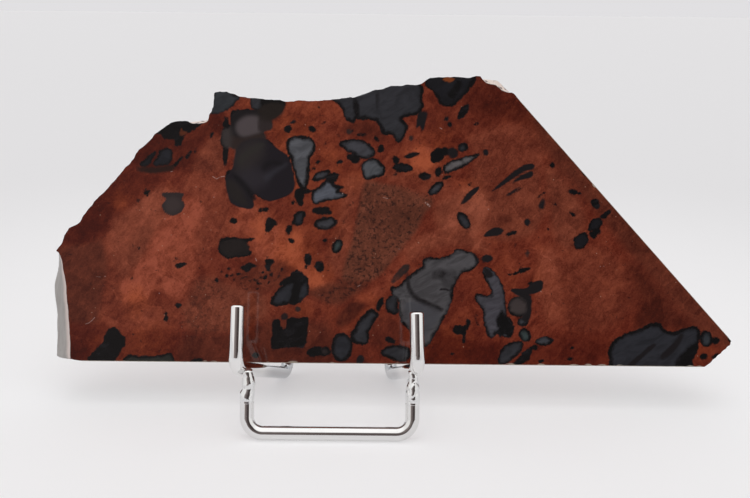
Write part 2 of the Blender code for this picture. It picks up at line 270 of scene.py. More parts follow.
# Solid black glass.
BLACK = {
    "shoulder_cap": [
        (152, 133), (160, 120), (178, 114), (208, 112), (203, 122), (196, 129), (188, 133), (183, 138),
        (181.5, 145), (175, 146.5), (174, 139), (165, 139.5), (160, 134)],
    "beside_small_corner": [
        (262, 94), (279, 96), (286, 102), (284, 109.7), (280, 113.6), (272, 119), (267, 117),
        (260.7, 111)],
    "above_window": [
        (231.4, 111), (241.6, 109.5), (249.3, 109), (249.3, 114.8), (236.5, 119), (235.2, 129),
        (231, 121)],
    "strip": [
        (223.8, 118.7), (227.6, 117.4), (231.4, 131.4), (232.7, 139.1), (228.9, 148), (227.6, 162),
        (224.4, 165.8), (222.5, 156.9), (223.1, 148), (220, 141.6), (222.5, 131.4)],
    "great_blot": [
        (249.3, 139.1), (264.6, 139.1), (271, 141.6), (276, 148), (283.7, 153.1), (288.8, 158.2),
        (291.4, 168.4), (293.9, 178.6), (293.9, 188.8), (287.5, 195.2), (278.6, 199), (269.7, 200.9),
        (262, 199), (255.6, 193.9), (251.2, 188.8), (251.8, 197.7), (253.7, 205.4), (249.3, 208.6),
        (242.9, 205.4), (236.5, 201.6), (231.4, 202.8), (228.2, 192.6), (225.7, 179.9), (226.3, 170.9),
        (232.7, 168.4), (235.9, 156.9), (237.8, 146.7)],
    "under_teardrop": [
        (295.2, 189), (301.5, 188), (310.5, 190.1), (310.5, 193.3), (304.1, 195.2), (303.5, 204.1),
        (299.6, 206), (295.8, 200.3), (294.5, 194)],
    "claw_back": [
        (325, 178), (330, 173), (338.6, 173.5), (338.6, 178.6), (334.7, 183), (344.9, 187), (337, 190),
        (330, 184)],
    "claw_streak": [
        (313.1, 208), (328.4, 206.7), (329.6, 209.9), (332.2, 213.1), (322, 215), (313.1, 212.4)],
    "arrowhead": [
        (265.9, 219.4), (271, 217.5), (278, 223.3), (273.5, 227.1), (269.7, 231.6), (265.3, 230.9)],
    "brush": [
        (219.7, 238.8), (227.6, 236.8), (235.5, 237.2), (242.4, 238.4), (254.2, 238), (251.7, 240.4),
        (246.4, 242.4), (247, 245), (250.5, 246.7), (249, 249), (251.7, 251.6), (251.7, 255),
        (246.4, 256.2), (235.5, 257.5), (227.6, 259), (220.7, 254.6), (218, 248.7), (218.7, 242.8)],
    "under_brush": [
        (239.5, 267.8), (245.9, 264.6), (249.7, 262.7), (256.8, 265.9), (251, 269.1), (247.8, 272.3),
        (243.4, 270.4)],
    "beside_brush": [
        (264.4, 258.9), (271.4, 258.3), (275.3, 261.5), (272.1, 264.6), (270.2, 271), (265.7, 270.4),
        (265.1, 264)],
    "two_lobed_back": [
        (280, 286.4), (281, 281), (289.3, 276.1), (291.2, 272.9), (296.9, 269.7), (303.3, 273.6),
        (309, 280), (301.6, 287), (298, 296), (297.6, 304), (289, 304), (291, 292), (292.4, 283.6)],
    "square": [
        (272.7, 320.8), (279.7, 319.5), (281, 325.9), (285.5, 328.4), (287.4, 318.2), (299.5, 317.6),
        (308.4, 316.9), (307.8, 328.4), (305.2, 346.3), (294.4, 347.6), (281.6, 348.2), (271.4, 348.8),
        (271.4, 334.8)],
    "mitten_heel": [
        (497, 320), (499, 311.6), (503.4, 309.6), (506, 316), (509, 317), (514.4, 326), (512, 336),
        (507.6, 338.4), (504, 335), (500, 338), (497, 334), (493, 337), (491.6, 333.6), (498.6, 329)],
    "long_tail": [
        (507.6, 274.8), (519, 270.4), (519.7, 265.9), (522.9, 267.8), (531.1, 267.8), (524.1, 272.3),
        (515.2, 274.8), (510.1, 275.8)],
    "crab": [
        (452.7, 329.7), (456.5, 324.6), (465.5, 325.9), (466.7, 318.9), (470.6, 321.4), (469.3, 327.1),
        (466.1, 331), (464.8, 342.4), (461.6, 343.7), (462.3, 334.8), (455.3, 334.2)],
    "lower_shadow": [
        (531.8, 352.7), (528, 360.3), (517, 366), (511, 366), (519, 356.5), (526.7, 349), (534.3, 345.5)],
    "under_slanted": [
        (345.9, 155), (353, 153.8), (360, 159.5), (357.4, 164), (350.4, 161.4)],
    "near_diagonal": [
        (591, 199.7), (598.6, 199.7), (599.9, 208), (595.4, 208.6), (591.6, 205.4)],
    "link_top": [
        (599.6, 216.5), (608.8, 209.7), (611.6, 211.6), (607.6, 217.1), (603.1, 219)],
    "link_shade": [
        (589.6, 231.6), (599, 229.5), (601, 231), (594.8, 238.8), (590.4, 237)],
    "corner_triangle": [
        (88, 357), (101.4, 343.7), (105.3, 333.5), (109.6, 328.4), (113.5, 327), (118, 329.7),
        (124.4, 337.3), (125.7, 343.7), (121.8, 348.8), (118, 355.2), (112.9, 362), (92, 364)],
    "left_pebble": [
        (175.2, 267.4), (176.4, 263), (184.3, 262.5), (186.5, 264.6), (179.2, 268.7)],
    "bottom_right_shade": [
        (674, 372), (680, 356), (690, 346), (698, 340), (697.7, 351.8), (692.6, 360.7), (687, 372)],
    "top_right_rim": [
        (467, 92), (472, 80), (472, 72), (477, 72), (474, 84)],
    "top_right_inclusion": [
        (452, 90), (456, 86), (457, 81), (461, 84), (459, 90), (456, 97), (452, 99), (448, 95)],
}

# Lenses of glass: middle, half length, half width and turn in degrees. The first have a grey heart, and
# their last value is its colour; the others are black.
LENSES = [
    (325.8, 223.3, 12.3, 6.4, 8, SMOKE), (463.6, 220.6, 10, 5.6, -58, DIM),
    (337.3, 246.2, 7.6, 5, 70, TEAL), (402.7, 167.8, 10.5, 4.8, -4, NIGHT),
    (435.9, 188.2, 9.5, 5, 40, SMOKE), (544.5, 341.2, 9.3, 4.8, 6, SMOKE),
    (524.8, 335.2, 7.2, 6, -60, TEAL), (522.9, 322, 5.8, 4.8, 0, SMOKE),
    (706.2, 338.8, 8.4, 6.8, -80, SEA_GREY), (325, 351.6, 6, 5, 0, DEEP_PLUM),
    (462.8, 147.4, 5.6, 5, 20, DIM), (518.8, 306.6, 11.5, 10.6, 0, PLUM),
]
BLACK_LENSES = [
    (437.5, 155.6, 8.6, 6.9, 48), (444.5, 151.5, 5.5, 4.5, 0), (463.3, 111.7, 8.8, 4.2, 55),
    (288.2, 128.9, 4.2, 3.8, 60), (312.4, 128.9, 3.9, 3.2, -30), (293.3, 121.8, 3, 1.5, 20),
    (318.8, 107.2, 1.8, 1.2, 0), (323.9, 122.5, 2.2, 1.1, 35), (338.5, 135.2, 1.8, 1.4, 0),
    (325.1, 143.5, 2.2, 1.1, 0), (318.1, 162, 3.2, 1.7, 35), (313.7, 168.4, 2, 1.5, 20),
    (339.8, 162, 3.6, 2.4, 10), (260.4, 210.4, 2.9, 2.5, 40), (266.2, 209.6, 3, 2.2, 10),
    (233.4, 220.7, 4.2, 3.1, 0), (288.8, 229.6, 5.2, 3.2, 80), (291.4, 240.5, 3.6, 2.4, -30),
    (324.5, 240.5, 3, 2.1, 10), (293.3, 202.8, 2.2, 1.9, 0), (307.8, 259.4, 6.3, 3.9, -85),
    (306.2, 267, 2.4, 1.6, 60), (319.9, 266.6, 5.9, 5, -70), (379.8, 304.2, 7.2, 3, 70),
    (390, 339.9, 5.4, 3.1, -22), (315, 351.6, 8.6, 5.2, 12), (255.5, 355.2, 3.4, 2.8, 0),
    (510.1, 274.4, 3, 1.1, 0), (425, 176.1, 6.6, 4.1, 0), (438.4, 172.2, 5.8, 3.2, 75),
    (447.3, 177.3, 4.6, 1.6, 14), (411.6, 155.2, 8.8, 2.6, 14), (395.7, 159.5, 5, 3, -60),
    (393.8, 174.2, 2.4, 1.2, 0), (381, 148.6, 4.2, 3.2, 70), (377, 139.1, 4, 1.8, -42),
    (361.9, 134.6, 5, 1.6, 0), (446.7, 118.7, 2.9, 2.2, 40), (449.9, 124.4, 2.7, 2.4, 0),
    (476, 123.8, 2.8, 1.5, 20), (469.6, 184.2, 2.6, 1.6, 40), (515.7, 191.2, 8, 1, 28),
    (541.2, 195, 5.4, 1, 38), (552.7, 165.2, 2.9, 2.8, 0), (584.3, 173.5, 3.4, 1.8, -48),
    (573, 192, 4.6, 2.6, 0), (579, 193.3, 3, 1.2, 0), (572.5, 214.3, 4, 1.9, -28),
    (555.3, 204.1, 1.8, 1.5, 0), (547.6, 229, 1.2, 1.2, 0), (511, 233.6, 6.2, 1.8, 18),
    (715.6, 340.9, 4.2, 3.2, 30), (703.5, 356.8, 4.2, 3.2, 20), (731, 340.6, 3.6, 2.2, -40),
    (715.6, 355.9, 4.4, 2.2, 38), (572.1, 347.9, 2, 1.6, 0), (570.2, 358.8, 2.6, 1.9, 0),
    (541.3, 361, 3, 2, 0), (535.2, 347, 3.4, 2.6, 20), (452.1, 353.9, 2.4, 1.5, 0),
    (476.9, 322, 6, 0.9, -68), (197.1, 361, 6.2, 2.9, 0), (176.7, 259, 1.7, 1.4, 0),
    (178.4, 305.4, 3.1, 2.7, 0), (165.8, 313.4, 2.2, 1.7, 0), (166, 318.8, 3.2, 2.2, 40),
    (138.4, 247.8, 1.9, 1.3, -40), (132, 278, 2, 1.5, 40), (120.6, 301.4, 1.5, 1.3, 0),
    (216.9, 280, 2.2, 2, 0), (146.6, 192.4, 4, 1.8, 18), (138.4, 200.3, 2, 1.4, 40),
    (211.6, 135.6, 4, 1.5, 70), (188.5, 154.5, 5, 1.5, 60), (176.5, 163.5, 4, 1.6, 50),
    (228.5, 268.7, 2.3, 1.4, 0), (226.8, 275.6, 2.2, 1.4, 20), (231.6, 275.4, 2.6, 1.2, 30),
    (238.5, 274, 2.4, 1.4, 0), (255.6, 280, 2.8, 1.4, -20), (261.5, 277.4, 2.8, 1.5, 20),
    (265.5, 277.4, 3, 1.9, 60), (259, 283.6, 2.3, 1.2, 0), (271.4, 274.8, 2.5, 1.4, 60),
    (279, 275.4, 2.6, 1.2, 80), (530.6, 283.4, 2.6, 1.6, 30), (247, 277, 2.2, 0.9, -20),
    (250, 281, 2.0, 1.0, -35), (242, 278.6, 1.8, 0.8, 20), (268.6, 283, 2.4, 1.0, 60),
    (275.6, 280, 2.0, 1.0, 20), (246, 288.6, 1.6, 0.8, 0), (257, 289, 1.8, 0.8, 40),
    (282, 269.6, 2.2, 0.9, 70), (221.6, 272, 1.8, 0.9, 10), (234, 280, 1.6, 0.9, 0),
    (241.6, 283.6, 1.8, 0.8, -30), (262.6, 272.6, 1.8, 1.0, 0), (195.4, 150.6, 3.6, 1.1, 65),
    (181, 158.6, 3.0, 1.2, 40), (172.6, 165.6, 2.8, 1.0, 30), (145.6, 189.6, 1.8, 1.2, 0),
    (147.6, 194.6, 2.0, 1.2, 30), (176.4, 257.6, 1.2, 1.0, 0), (390, 123, 1.8, 1.2, 0),
    (350.6, 204.6, 1.6, 0.8, 20), (352, 130.6, 2.0, 1.2, 0),
]

# Veils inside the glass: colour, strength, softness of the border (pixels), and outline.
VEILS = {
    "window_shade": (SOOT, 1.0, 3.0, [
        (231, 122), (234, 112), (246, 110), (262, 112), (263, 130), (262, 144), (240, 148), (230, 136)]),
    "window": (GRAPHITE, 0.95, 6.0, [
        (237.5, 122), (247, 116), (260, 117.5), (261.5, 132), (251, 136), (241.5, 136.5), (236, 130)]),
    "window_side": (DEEP_PLUM, 0.95, 3.0, [
        (259, 117), (268, 118), (272.6, 124), (271, 129.6), (265.5, 131), (258.5, 131)]),
    "window_foot": (UMBER, 0.95, 5.0, [
        (231, 136), (243, 138), (262, 133), (264, 141), (238, 150), (229, 144)]),
    "beside_corner_haze": ((0.019, 0.0145, 0.0125), 0.8, 7.0, [
        (264, 104), (284, 104), (280, 117), (268, 122), (258, 116)]),
    "strip_haze": ((0.046, 0.037, 0.036), 0.7, 8.0, [
        (222.5, 130), (231, 129), (232.6, 139), (229, 148), (221.6, 144)]),
    "brush_haze": ((0.02, 0.0155, 0.0145), 0.6, 4.0, [
        (221, 241), (240, 239), (248, 243), (250, 252), (246, 255), (228, 257), (220, 250)]),
    "blot_base": ((0.0145, 0.012, 0.0155), 1.0, 3.0, [
        (249.3, 139.1), (264.6, 139.1), (276, 148), (288.8, 158.2), (293.9, 178.6), (293.9, 188.8),
        (287.5, 195.2), (269.7, 200.9), (255.6, 193.9), (251.8, 197.7), (253.7, 205.4), (249.3, 208.6),
        (231.4, 202.8), (225.7, 179.9), (232.7, 168.4), (237.8, 146.7)]),
    "blot_haze": ((0.037, 0.03, 0.028), 0.6, 16.0, [
        (236, 152), (246, 142), (260, 141), (264, 154), (250, 170), (236, 170)]),
    "blot_centre": ((0.036, 0.031, 0.037), 0.55, 16.0, [
        (238, 174), (252, 168), (264, 172), (266, 183), (254, 190), (242, 187)]),
    "blot_light": ((0.04, 0.038, 0.048), 0.55, 6.0, [
        (264, 176), (274, 169), (285, 163), (286, 166), (276, 173), (267, 181)]),
    "blot_band": ((0.03, 0.028, 0.024), 0.5, 5.0, [
        (238, 158), (250, 148), (262, 142), (264, 147), (252, 154), (241, 164)]),
    "blot_lobe": ((0.022, 0.018, 0.0165), 0.8, 7.0, [
        (227, 180), (236, 182), (243, 192), (248, 205), (240, 204), (230, 198)]),
    "blot_streak": ((0.0075, 0.007, 0.008), 0.8, 4.0, [
        (232, 173), (240, 177), (250, 188), (257, 199), (252, 200), (245, 191), (236, 181)]),
    "blot_arc": ((0.0075, 0.007, 0.008), 0.6, 4.0, [
        (262, 166), (272, 160), (284, 163), (280, 166), (271, 165), (264, 171)]),
    "jagged_top": (SOOT, 0.95, 2.4, [
        (417, 118), (419.3, 112), (427.4, 112), (425.4, 122), (422.8, 131.4), (419.6, 126), (416, 128)]),
    "upper_feather": (SOOT, 0.95, 2.0, [
        (491.8, 191.4), (499, 184), (508, 176), (516, 169.6), (525, 164.6), (533, 164), (534, 168.6),
        (524, 172), (512.9, 178.6), (500.4, 187)]),
    "middle_feather": (SOOT, 0.9, 2.0, [
        (512, 183), (521, 175.2), (531, 171.6), (533.4, 174), (530.4, 177.6), (521, 180)]),
    "low_feather": (SOOT, 0.7, 2.0, [
        (506, 195), (515, 188.6), (521, 186.6), (515, 192), (508, 196)]),
    "floating_grey": (DEEP_PLUM, 1.0, 2.4, [
        (163.2, 192.6), (183.6, 193.3), (181.1, 199), (184.9, 204.1), (181.1, 211.7), (173.4, 215.6),
        (165.8, 213), (161.9, 205.4), (167, 199), (162.6, 196.4)]),
    "floating_heart": ((0.05, 0.036, 0.035), 0.85, 7.0, [
        (166, 200), (174, 197), (181, 202), (180, 209), (173, 213), (166, 210)]),
    "round_grey_heart": ((0.054, 0.042, 0.041), 0.75, 8.0, [
        (511, 302), (518, 298), (526, 303), (525, 312), (517, 315), (510, 310)]),
    "beside_round_grey": (SOOT, 0.95, 2.4, [
        (526, 298), (531, 296), (531.6, 306), (530, 318), (526, 322), (522, 318), (527, 310)]),
    "above_round_grey": (SOOT, 0.95, 2.0, [
        (511.4, 291.4), (512.7, 288.9), (526.7, 288.2), (531.8, 282.5), (542, 280.6), (542.6, 288.9),
        (535.6, 293.3), (529.2, 294.6), (528.6, 301.6), (519, 296)]),
    "left_lens": (SOOT, 0.95, 2.0, [
        (484, 236), (489, 230), (496, 227.4), (503.6, 229.8), (500, 234.4), (493, 236)]),
    "beside_big_oval": (SOOT, 0.9, 2.0, [
        (448, 149), (454, 147.6), (458, 152), (457, 157), (450.4, 158.4), (447.6, 154)]),
    "small_square": (SOOT, 0.85, 1.6, [
        (483.4, 150), (487.6, 150), (488.4, 154.6), (484, 155.6)]),
    "soft_streak": (SOOT, 0.95, 2.0, [
        (461, 203.6), (464, 197.4), (472, 189.6), (478.6, 186.6), (478.6, 189.6), (472, 197),
        (466, 202.6)]),
    "soft_spot": (SOOT, 0.8, 2.0, [
        (523.6, 222), (527.4, 218.6), (530.6, 222), (527.4, 226.4)]),
    "soft_spot_low": (UMBER, 0.6, 2.0, [
        (524.8, 254), (527.6, 249.6), (530, 252.6), (527.6, 257.6)]),
    "soft_dots": (UMBER, 0.9, 2.0, [
        (294.8, 309), (297.6, 306), (300.6, 309), (297.6, 312.2)]),
    "soft_dot_low": (SOOT, 0.8, 2.0, [
        (281, 315.4), (284.8, 312), (288.6, 315.4), (287, 319.6), (281, 319.6)]),
    "left_of_great": (UMBER, 0.7, 2.0, [
        (391, 280), (400, 268), (407, 263), (410, 268), (402, 277), (393, 284)]),
    "soft_top": (UMBER, 0.8, 2.0, [
        (408, 138), (411, 135), (414, 138), (411, 141.4)]),
    "soft_left_top": (UMBER, 0.7, 2.0, [
        (345.6, 131.4), (349, 128), (352.6, 131.4), (349, 134.8)]),
    "above_lens": (SOOT, 0.9, 1.6, [
        (481.6, 258.4), (485, 254.8), (491, 255.6), (492.6, 259), (488, 262.4), (482.6, 261.6)]),
    "right_soft": (SOOT, 0.75, 3.0, [
        (538, 205), (542.6, 197.4), (545.6, 201.4), (543.6, 208.6), (539.4, 209)]),
    "foot_soft": (SOOT, 0.8, 2.0, [
        (356.4, 359), (360, 354.4), (364.6, 358), (362, 364), (357, 364)]),
    "smear": ((0.026, 0.0115, 0.009), 0.8, 5.0, [
        (137, 167), (156, 167), (173, 165), (173, 171), (156, 173), (140, 172)]),
    "dark_fold": (SOOT, 0.68, 4.0, [
        (405.4, 272), (409.4, 274.6), (411.6, 287), (419, 296), (431, 302), (443, 308), (441, 311.6),
        (428, 306.6), (414, 299.6), (406.6, 289)]),
    "great_patch_shade": (SOOT, 0.5, 6.0, [
        (432, 271), (442, 268), (446, 274), (438, 280), (431, 279)]),
    "great_patch_side": (SOOT, 0.4, 6.0, [
        (442, 272), (455, 269), (458, 279), (452, 290), (441, 285)]),
    "great_patch_line": (SOOT, 0.8, 1.4, [
        (441, 288.6), (449, 289.4), (449, 291), (441, 290.4)]),
    "great_patch_low": (SMOKE, 0.55, 7.0, [
        (414, 302), (441, 313), (428, 334), (423, 338), (408, 321), (405, 305)]),
    "mitten_top": (SOOT, 0.9, 2.5, [
        (484, 267), (491, 271), (493.6, 276), (488, 278), (484.4, 274)]),
    "corner_shade": (SOOT, 0.6, 5.0, [
        (376, 92), (379, 92), (378.8, 110), (376, 110)]),
    "bottom_right_fold": (SOOT, 0.8, 3.5, [
        (626, 366), (640, 354), (652, 344), (656, 346), (642, 358), (632, 368)]),
    "bottom_right_fold_two": (SOOT, 0.75, 4.0, [
        (660, 356), (672, 344), (680, 334), (684, 336), (676, 350), (664, 360)]),
    "chip_of_orange": ((0.2, 0.05, 0.015), 0.9, 1.6, [
        (442.6, 80), (448.6, 76), (455, 79), (450, 82.4)]),
    "orange_in_cap": ((0.1, 0.026, 0.012), 0.75, 1.8, [
        (179.6, 132), (181.4, 127.6), (184, 131), (187, 131.6), (186, 134), (181, 136)]),
}

# Fragments of the mahogany: how light, how brown, softness of the border (pixels), and outline.
FRAGMENTS = {
    "left_band": (0.38, 0.5, 5, [
        (52, 250), (84, 243), (100, 236), (107, 250), (109, 268), (104, 292), (101, 318), (92, 326),
        (60, 326)]),
    "left_rose": (0.62, 0.15, 6, [
        (104, 236), (116, 226), (128, 250), (126, 276), (120, 306), (102, 312), (104, 292), (109, 268)]),
    "mauve": (0.68, 0.3, 6, [
        (112, 216), (124, 209), (140, 199), (152, 188), (163, 186), (178, 190), (180, 210), (166, 220),
        (153, 237), (143, 256), (134, 262), (128, 280), (117, 268), (110, 245)]),
    "mauve_dark": (0.58, 0.4, 4, [
        (133, 236), (148, 226), (153, 236), (143, 256), (135, 270), (128, 262)]),
    "bright_left": (0.83, 0.0, 5, [
        (143, 258), (153, 237), (167, 220), (180, 206), (196, 196), (206, 210), (200, 232), (198, 262),
        (192, 282), (178, 298), (160, 290), (140, 286), (132, 272)]),
    "glow_low_left": (0.97, 0.0, 4, [
        (121, 281), (140, 278), (150, 286), (148, 300), (136, 306), (123, 303)]),
    "beside_blot": (0.61, 0.15, 6, [
        (172, 184), (200, 170), (224, 171), (232, 204), (228, 232), (214, 248), (200, 264), (196, 232),
        (204, 210), (194, 196)]),
    "upper_pale": (0.5, 0.35, 4, [
        (190, 170), (200, 149), (211, 137), (223, 134), (224, 160), (221, 171)]),
    "under_cap": (0.22, 0.1, 5, [
        (118, 164), (140, 142), (160, 130), (204, 124), (210, 110), (224, 112), (224, 134), (211, 137),
        (200, 148), (190, 168), (176, 171), (150, 172), (134, 169)]),
    "shoulder_light": (0.5, 0.0, 6, [
        (150, 178), (170, 172), (186, 172), (178, 186), (162, 187)]),
    "shoulder_high": (0.35, 0.0, 5, [
        (100, 186), (122, 158), (136, 167), (160, 173), (154, 188), (140, 198), (128, 209), (114, 214)]),
    "shoulder_low": (0.24, 0.0, 5, [
        (50, 250), (60, 222), (88, 198), (104, 182), (116, 190), (113, 213), (108, 230), (98, 239),
        (84, 243), (62, 246)]),
    "below_bright": (0.57, 0.5, 6, [
        (196, 280), (214, 278), (232, 284), (262, 292), (266, 316), (236, 330), (206, 334), (186, 328),
        (180, 312), (188, 298)]),
    "lower_left": (0.58, 0.1, 6, [
        (102, 312), (122, 304), (150, 300), (178, 306), (182, 326), (150, 331), (128, 328), (104, 326)]),
    "bottom_red": (0.42, 0.0, 4, [
        (124, 336), (150, 331), (178, 329), (187, 340), (190, 368), (122, 368)]),
    "bottom_left": (0.36, 0.0, 5, [
        (62, 326), (92, 324), (108, 326), (96, 345), (88, 368), (62, 368)]),
    "bottom_middle": (0.38, 0.35, 6, [
        (187, 336), (232, 334), (264, 322), (276, 318), (312, 322), (330, 326), (326, 370), (188, 370)]),
    "orange_heart": (0.78, 0.0, 5, [
        (270, 236), (300, 232), (306, 260), (324, 272), (326, 286), (316, 297), (308, 284), (296, 268),
        (280, 262)]),
    "below_blot": (0.76, 0.0, 6, [
        (232, 210), (262, 206), (288, 236), (276, 262), (258, 258), (250, 236), (232, 232)]),
    "speckle_bed": (0.42, 0.35, 6, [
        (240, 270), (286, 262), (282, 286), (262, 292), (236, 286)]),
    "top_middle": (0.57, 0.0, 5, [
        (284, 96), (336, 96), (344, 122), (330, 128), (300, 126), (276, 124)]),
    "between": (0.52, 0.0, 6, [
        (312, 132), (344, 136), (350, 156), (340, 172), (316, 172), (316, 150)]),
    "under_top_piece": (0.3, 0.3, 5, [
        (344, 124), (372, 121), (384, 136), (380, 142), (358, 136), (344, 134)]),
    "beside_speckled": (0.64, 0.25, 5, [
        (344, 184), (352, 174), (372, 180), (362, 192), (356, 210), (350, 246), (342, 278), (328, 262),
        (336, 226)]),
    "speckled": (0.5, 1.0, 3, [
        (363, 186), (370, 181), (386, 184), (400, 185), (418, 192), (432, 198), (432, 206), (424, 214),
        (418, 228), (408, 242), (398, 254), (390, 264), (382, 274), (370, 281), (352, 283), (342, 280),
        (345, 262), (351, 244), (355, 226), (359, 206)]),
    "below_speckled": (0.44, 0.6, 4, [
        (308, 292), (334, 282), (352, 283), (368, 284), (352, 297), (338, 305), (322, 301)]),
    "plum_lens": (0.22, 0.4, 3, [
        (337, 320), (346, 306), (358, 300), (366, 303), (360, 312), (350, 322), (340, 327)]),
    "orange_under": (0.66, 0.0, 5, [
        (370, 288), (384, 274), (398, 262), (412, 258), (402, 274), (390, 290), (374, 302), (358, 301)]),
    "bright_top": (0.82, 0.0, 6, [
        (408, 150), (426, 146), (436, 158), (430, 172), (414, 172)]),
    "red_by_bright_top": (0.58, 0.2, 6, [
        (380, 172), (440, 172), (452, 190), (436, 198), (400, 186)]),
    "salmon_right": (0.72, 0.45, 6, [
        (434, 206), (448, 197), (464, 188), (486, 186), (492, 200), (486, 222), (478, 236), (452, 240),
        (438, 228)]),
    "above_great": (0.64, 0.35, 6, [
        (406, 244), (440, 230), (480, 236), (486, 252), (454, 246), (428, 252), (412, 262)]),
    "right_dull": (0.55, 0.4, 5, [
        (490, 192), (506, 180), (524, 170), (540, 164), (541, 190), (547, 206), (541, 222), (528, 236),
        (500, 241), (484, 234), (488, 214)]),
    "upper_right": (0.58, 0.3, 7, [
        (468, 134), (500, 124), (532, 124), (546, 148), (540, 164), (510, 172), (494, 188), (470, 184),
        (474, 160)]),
    "crest": (0.29, 0.15, 6, [
        (470, 74), (502, 76), (522, 92), (540, 116), (548, 132), (524, 124), (500, 118), (484, 116),
        (462, 108)]),
    "under_crest": (0.4, 0.1, 7, [
        (424, 112), (462, 110), (486, 118), (500, 122), (468, 134), (430, 132)]),
    "diagonal_band": (0.39, 0.5, 7, [
        (540, 112), (740, 344), (718, 344), (684, 318), (652, 280), (618, 240), (598, 214), (572, 184),
        (550, 158)]),
    "right_red": (0.58, 0.45, 7, [
        (546, 166), (572, 186), (586, 222), (572, 250), (556, 240), (548, 206)]),
    "bright_right": (0.68, 0.25, 7, [
        (540, 252), (556, 250), (566, 276), (562, 318), (546, 320), (536, 286)]),
    "middle_right": (0.52, 0.25, 9, [
        (566, 252), (600, 246), (628, 270), (640, 300), (606, 330), (566, 326), (562, 290)]),
    "far_right": (0.26, 0.35, 8, [
        (628, 262), (656, 282), (690, 322), (700, 332), (670, 330), (636, 330), (640, 300)]),
    "below_great": (0.46, 0.0, 7, [
        (454, 292), (474, 288), (482, 322), (490, 342), (470, 344), (444, 330)]),
    "bottom_centre": (0.3, 0.0, 6, [
        (426, 348), (440, 330), (470, 342), (500, 345), (494, 372), (420, 372)]),
    "bottom_right_red": (0.4, 0.0, 7, [
        (530, 346), (570, 338), (606, 336), (606, 372), (524, 372)]),
    "left_of_great": (0.36, 0.2, 6, [
        (368, 318), (392, 316), (404, 330), (398, 344), (374, 346)]),
}

# Smaller lighter and darker places, in pixels: middle, reach, and how much lighter or darker.
TONES = [
    (119, 204, 8, 0.16), (112, 284, 7, -0.16), (104, 300, 10, -0.05), (146, 290, 8, 0.08),
    (176, 226, 10, 0.06), (160, 250, 14, 0.05), (252, 168, 60, 0.04), (205, 188, 14, 0.06),
    (312, 283, 8, 0.14), (288, 256, 8, 0.1), (480, 204, 9, 0.14), (452, 222, 7, 0.1),
    (440, 210, 7, -0.12), (462, 240, 9, -0.12), (500, 222, 9, -0.14), (518, 196, 8, 0.1),
    (530, 214, 8, -0.1), (468, 196, 7, 0.08), (476, 226, 6, -0.1), (423, 160, 8, 0.1),
    (551, 268, 9, 0.08), (524, 150, 12, -0.1), (556, 202, 10, -0.14), (512, 268, 10, 0.1),
    (366, 204, 8, 0.06), (398, 216, 12, -0.1), (352, 262, 9, -0.06), (404, 246, 9, 0.06),
    (584, 270, 12, 0.06), (630, 296, 10, -0.06), (262, 228, 8, 0.12), (290, 146, 8, 0.1),
    (448, 188, 10, 0.06), (300, 240, 8, 0.04), (212, 300, 12, 0.05), (224, 262, 10, 0.08),
    (250, 262, 10, -0.08), (630, 312, 22, -0.09),
]
COMMON_TONE = 0.5
# Painted shade: the face grows darker towards its bottom edge, near the floor, between these pixel rows and
# by this much.
BOTTOM_PAINTED_SHADE_FROM = 322
BOTTOM_PAINTED_SHADE_TO = 356
BOTTOM_PAINTED_SHADE = -0.1

# Where the red turns to orange, in pixels: middle, reach and strength.
WARM = [
    (292, 130, 26, 0.7), (300, 178, 20, 0.7), (330, 160, 24, 0.5), (322, 215, 30, 0.5),
    (296, 252, 26, 0.9), (316, 276, 16, 0.9), (262, 228, 20, 0.5), (250, 100, 24, 0.3),
    (352, 180, 14, 0.6), (423, 160, 18, 0.8), (438, 148, 20, 0.5), (500, 272, 22, 0.35),
    (530, 275, 20, 0.25), (300, 310, 14, 0.6), (118, 200, 12, 0.9), (374, 305, 14, 0.5),
    (352, 318, 20, 0.4), (150, 350, 26, 0.8), (450, 350, 30, 0.7), (136, 300, 14, 0.8),
    (520, 100, 30, 0.3), (300, 110, 40, 0.4), (470, 190, 14, 0.5), (703, 350, 16, 0.35),
    (98, 345, 14, 0.5),
]

# The black-speckled pieces: how speckled, where their border fades in (pixels inside the outline),
# and outline.
SPECKLED = [
    (1.0, -2, 2, [
        (363, 186), (370, 181), (386, 184), (400, 185), (418, 192), (432, 198), (424, 214), (408, 242),
        (390, 264), (375, 280), (336, 302), (322, 300), (338, 280), (347, 256), (355, 226)]),
    (0.5, -4, 6, [
        (196, 277), (214, 277), (230, 300), (226, 330), (205, 344), (176, 340), (178, 318), (190, 296)]),
]

# Pale specks and short scratches in the polish: both ends and half width, in pixels.
SCRATCHES = [
    (85.4, 324, 88.6, 323, 0.2), (88.6, 323, 91.6, 320.8, 0.18), (91.6, 320.8, 94.8, 317.4, 0.24),
    (425.6, 202.4, 429.6, 206.2, 0.8), (398.8, 248.4, 399.4, 249, 0.5), (255.4, 258.2, 256.6, 261, 0.35),
    (357.6, 286.4, 360.4, 285, 0.2), (342.4, 193.3, 342.9, 193.7, 0.5), (383, 197.4, 388, 198.6, 0.22),
    (170.6, 171.8, 173, 171.2, 0.25), (540.6, 291, 541.4, 292, 0.3), (212.6, 176.4, 216.6, 179, 0.3),
    (216.6, 179, 220, 177, 0.3), (220, 177, 224.6, 176.2, 0.35), (164.6, 218.6, 165, 219, 0.4),
    (213.6, 197, 214, 197.4, 0.4), (439.6, 127.6, 442, 129, 0.35), (95.6, 276.4, 101, 277, 0.1),
    (104.8, 276.2, 105.6, 276.6, 0.4), (488.2, 209, 488.8, 209.6, 0.5), (600, 266.4, 600.6, 266.6, 0.4),
    (603.4, 266, 604, 266.4, 0.4), (159, 293, 159.6, 293.6, 0.4),
]

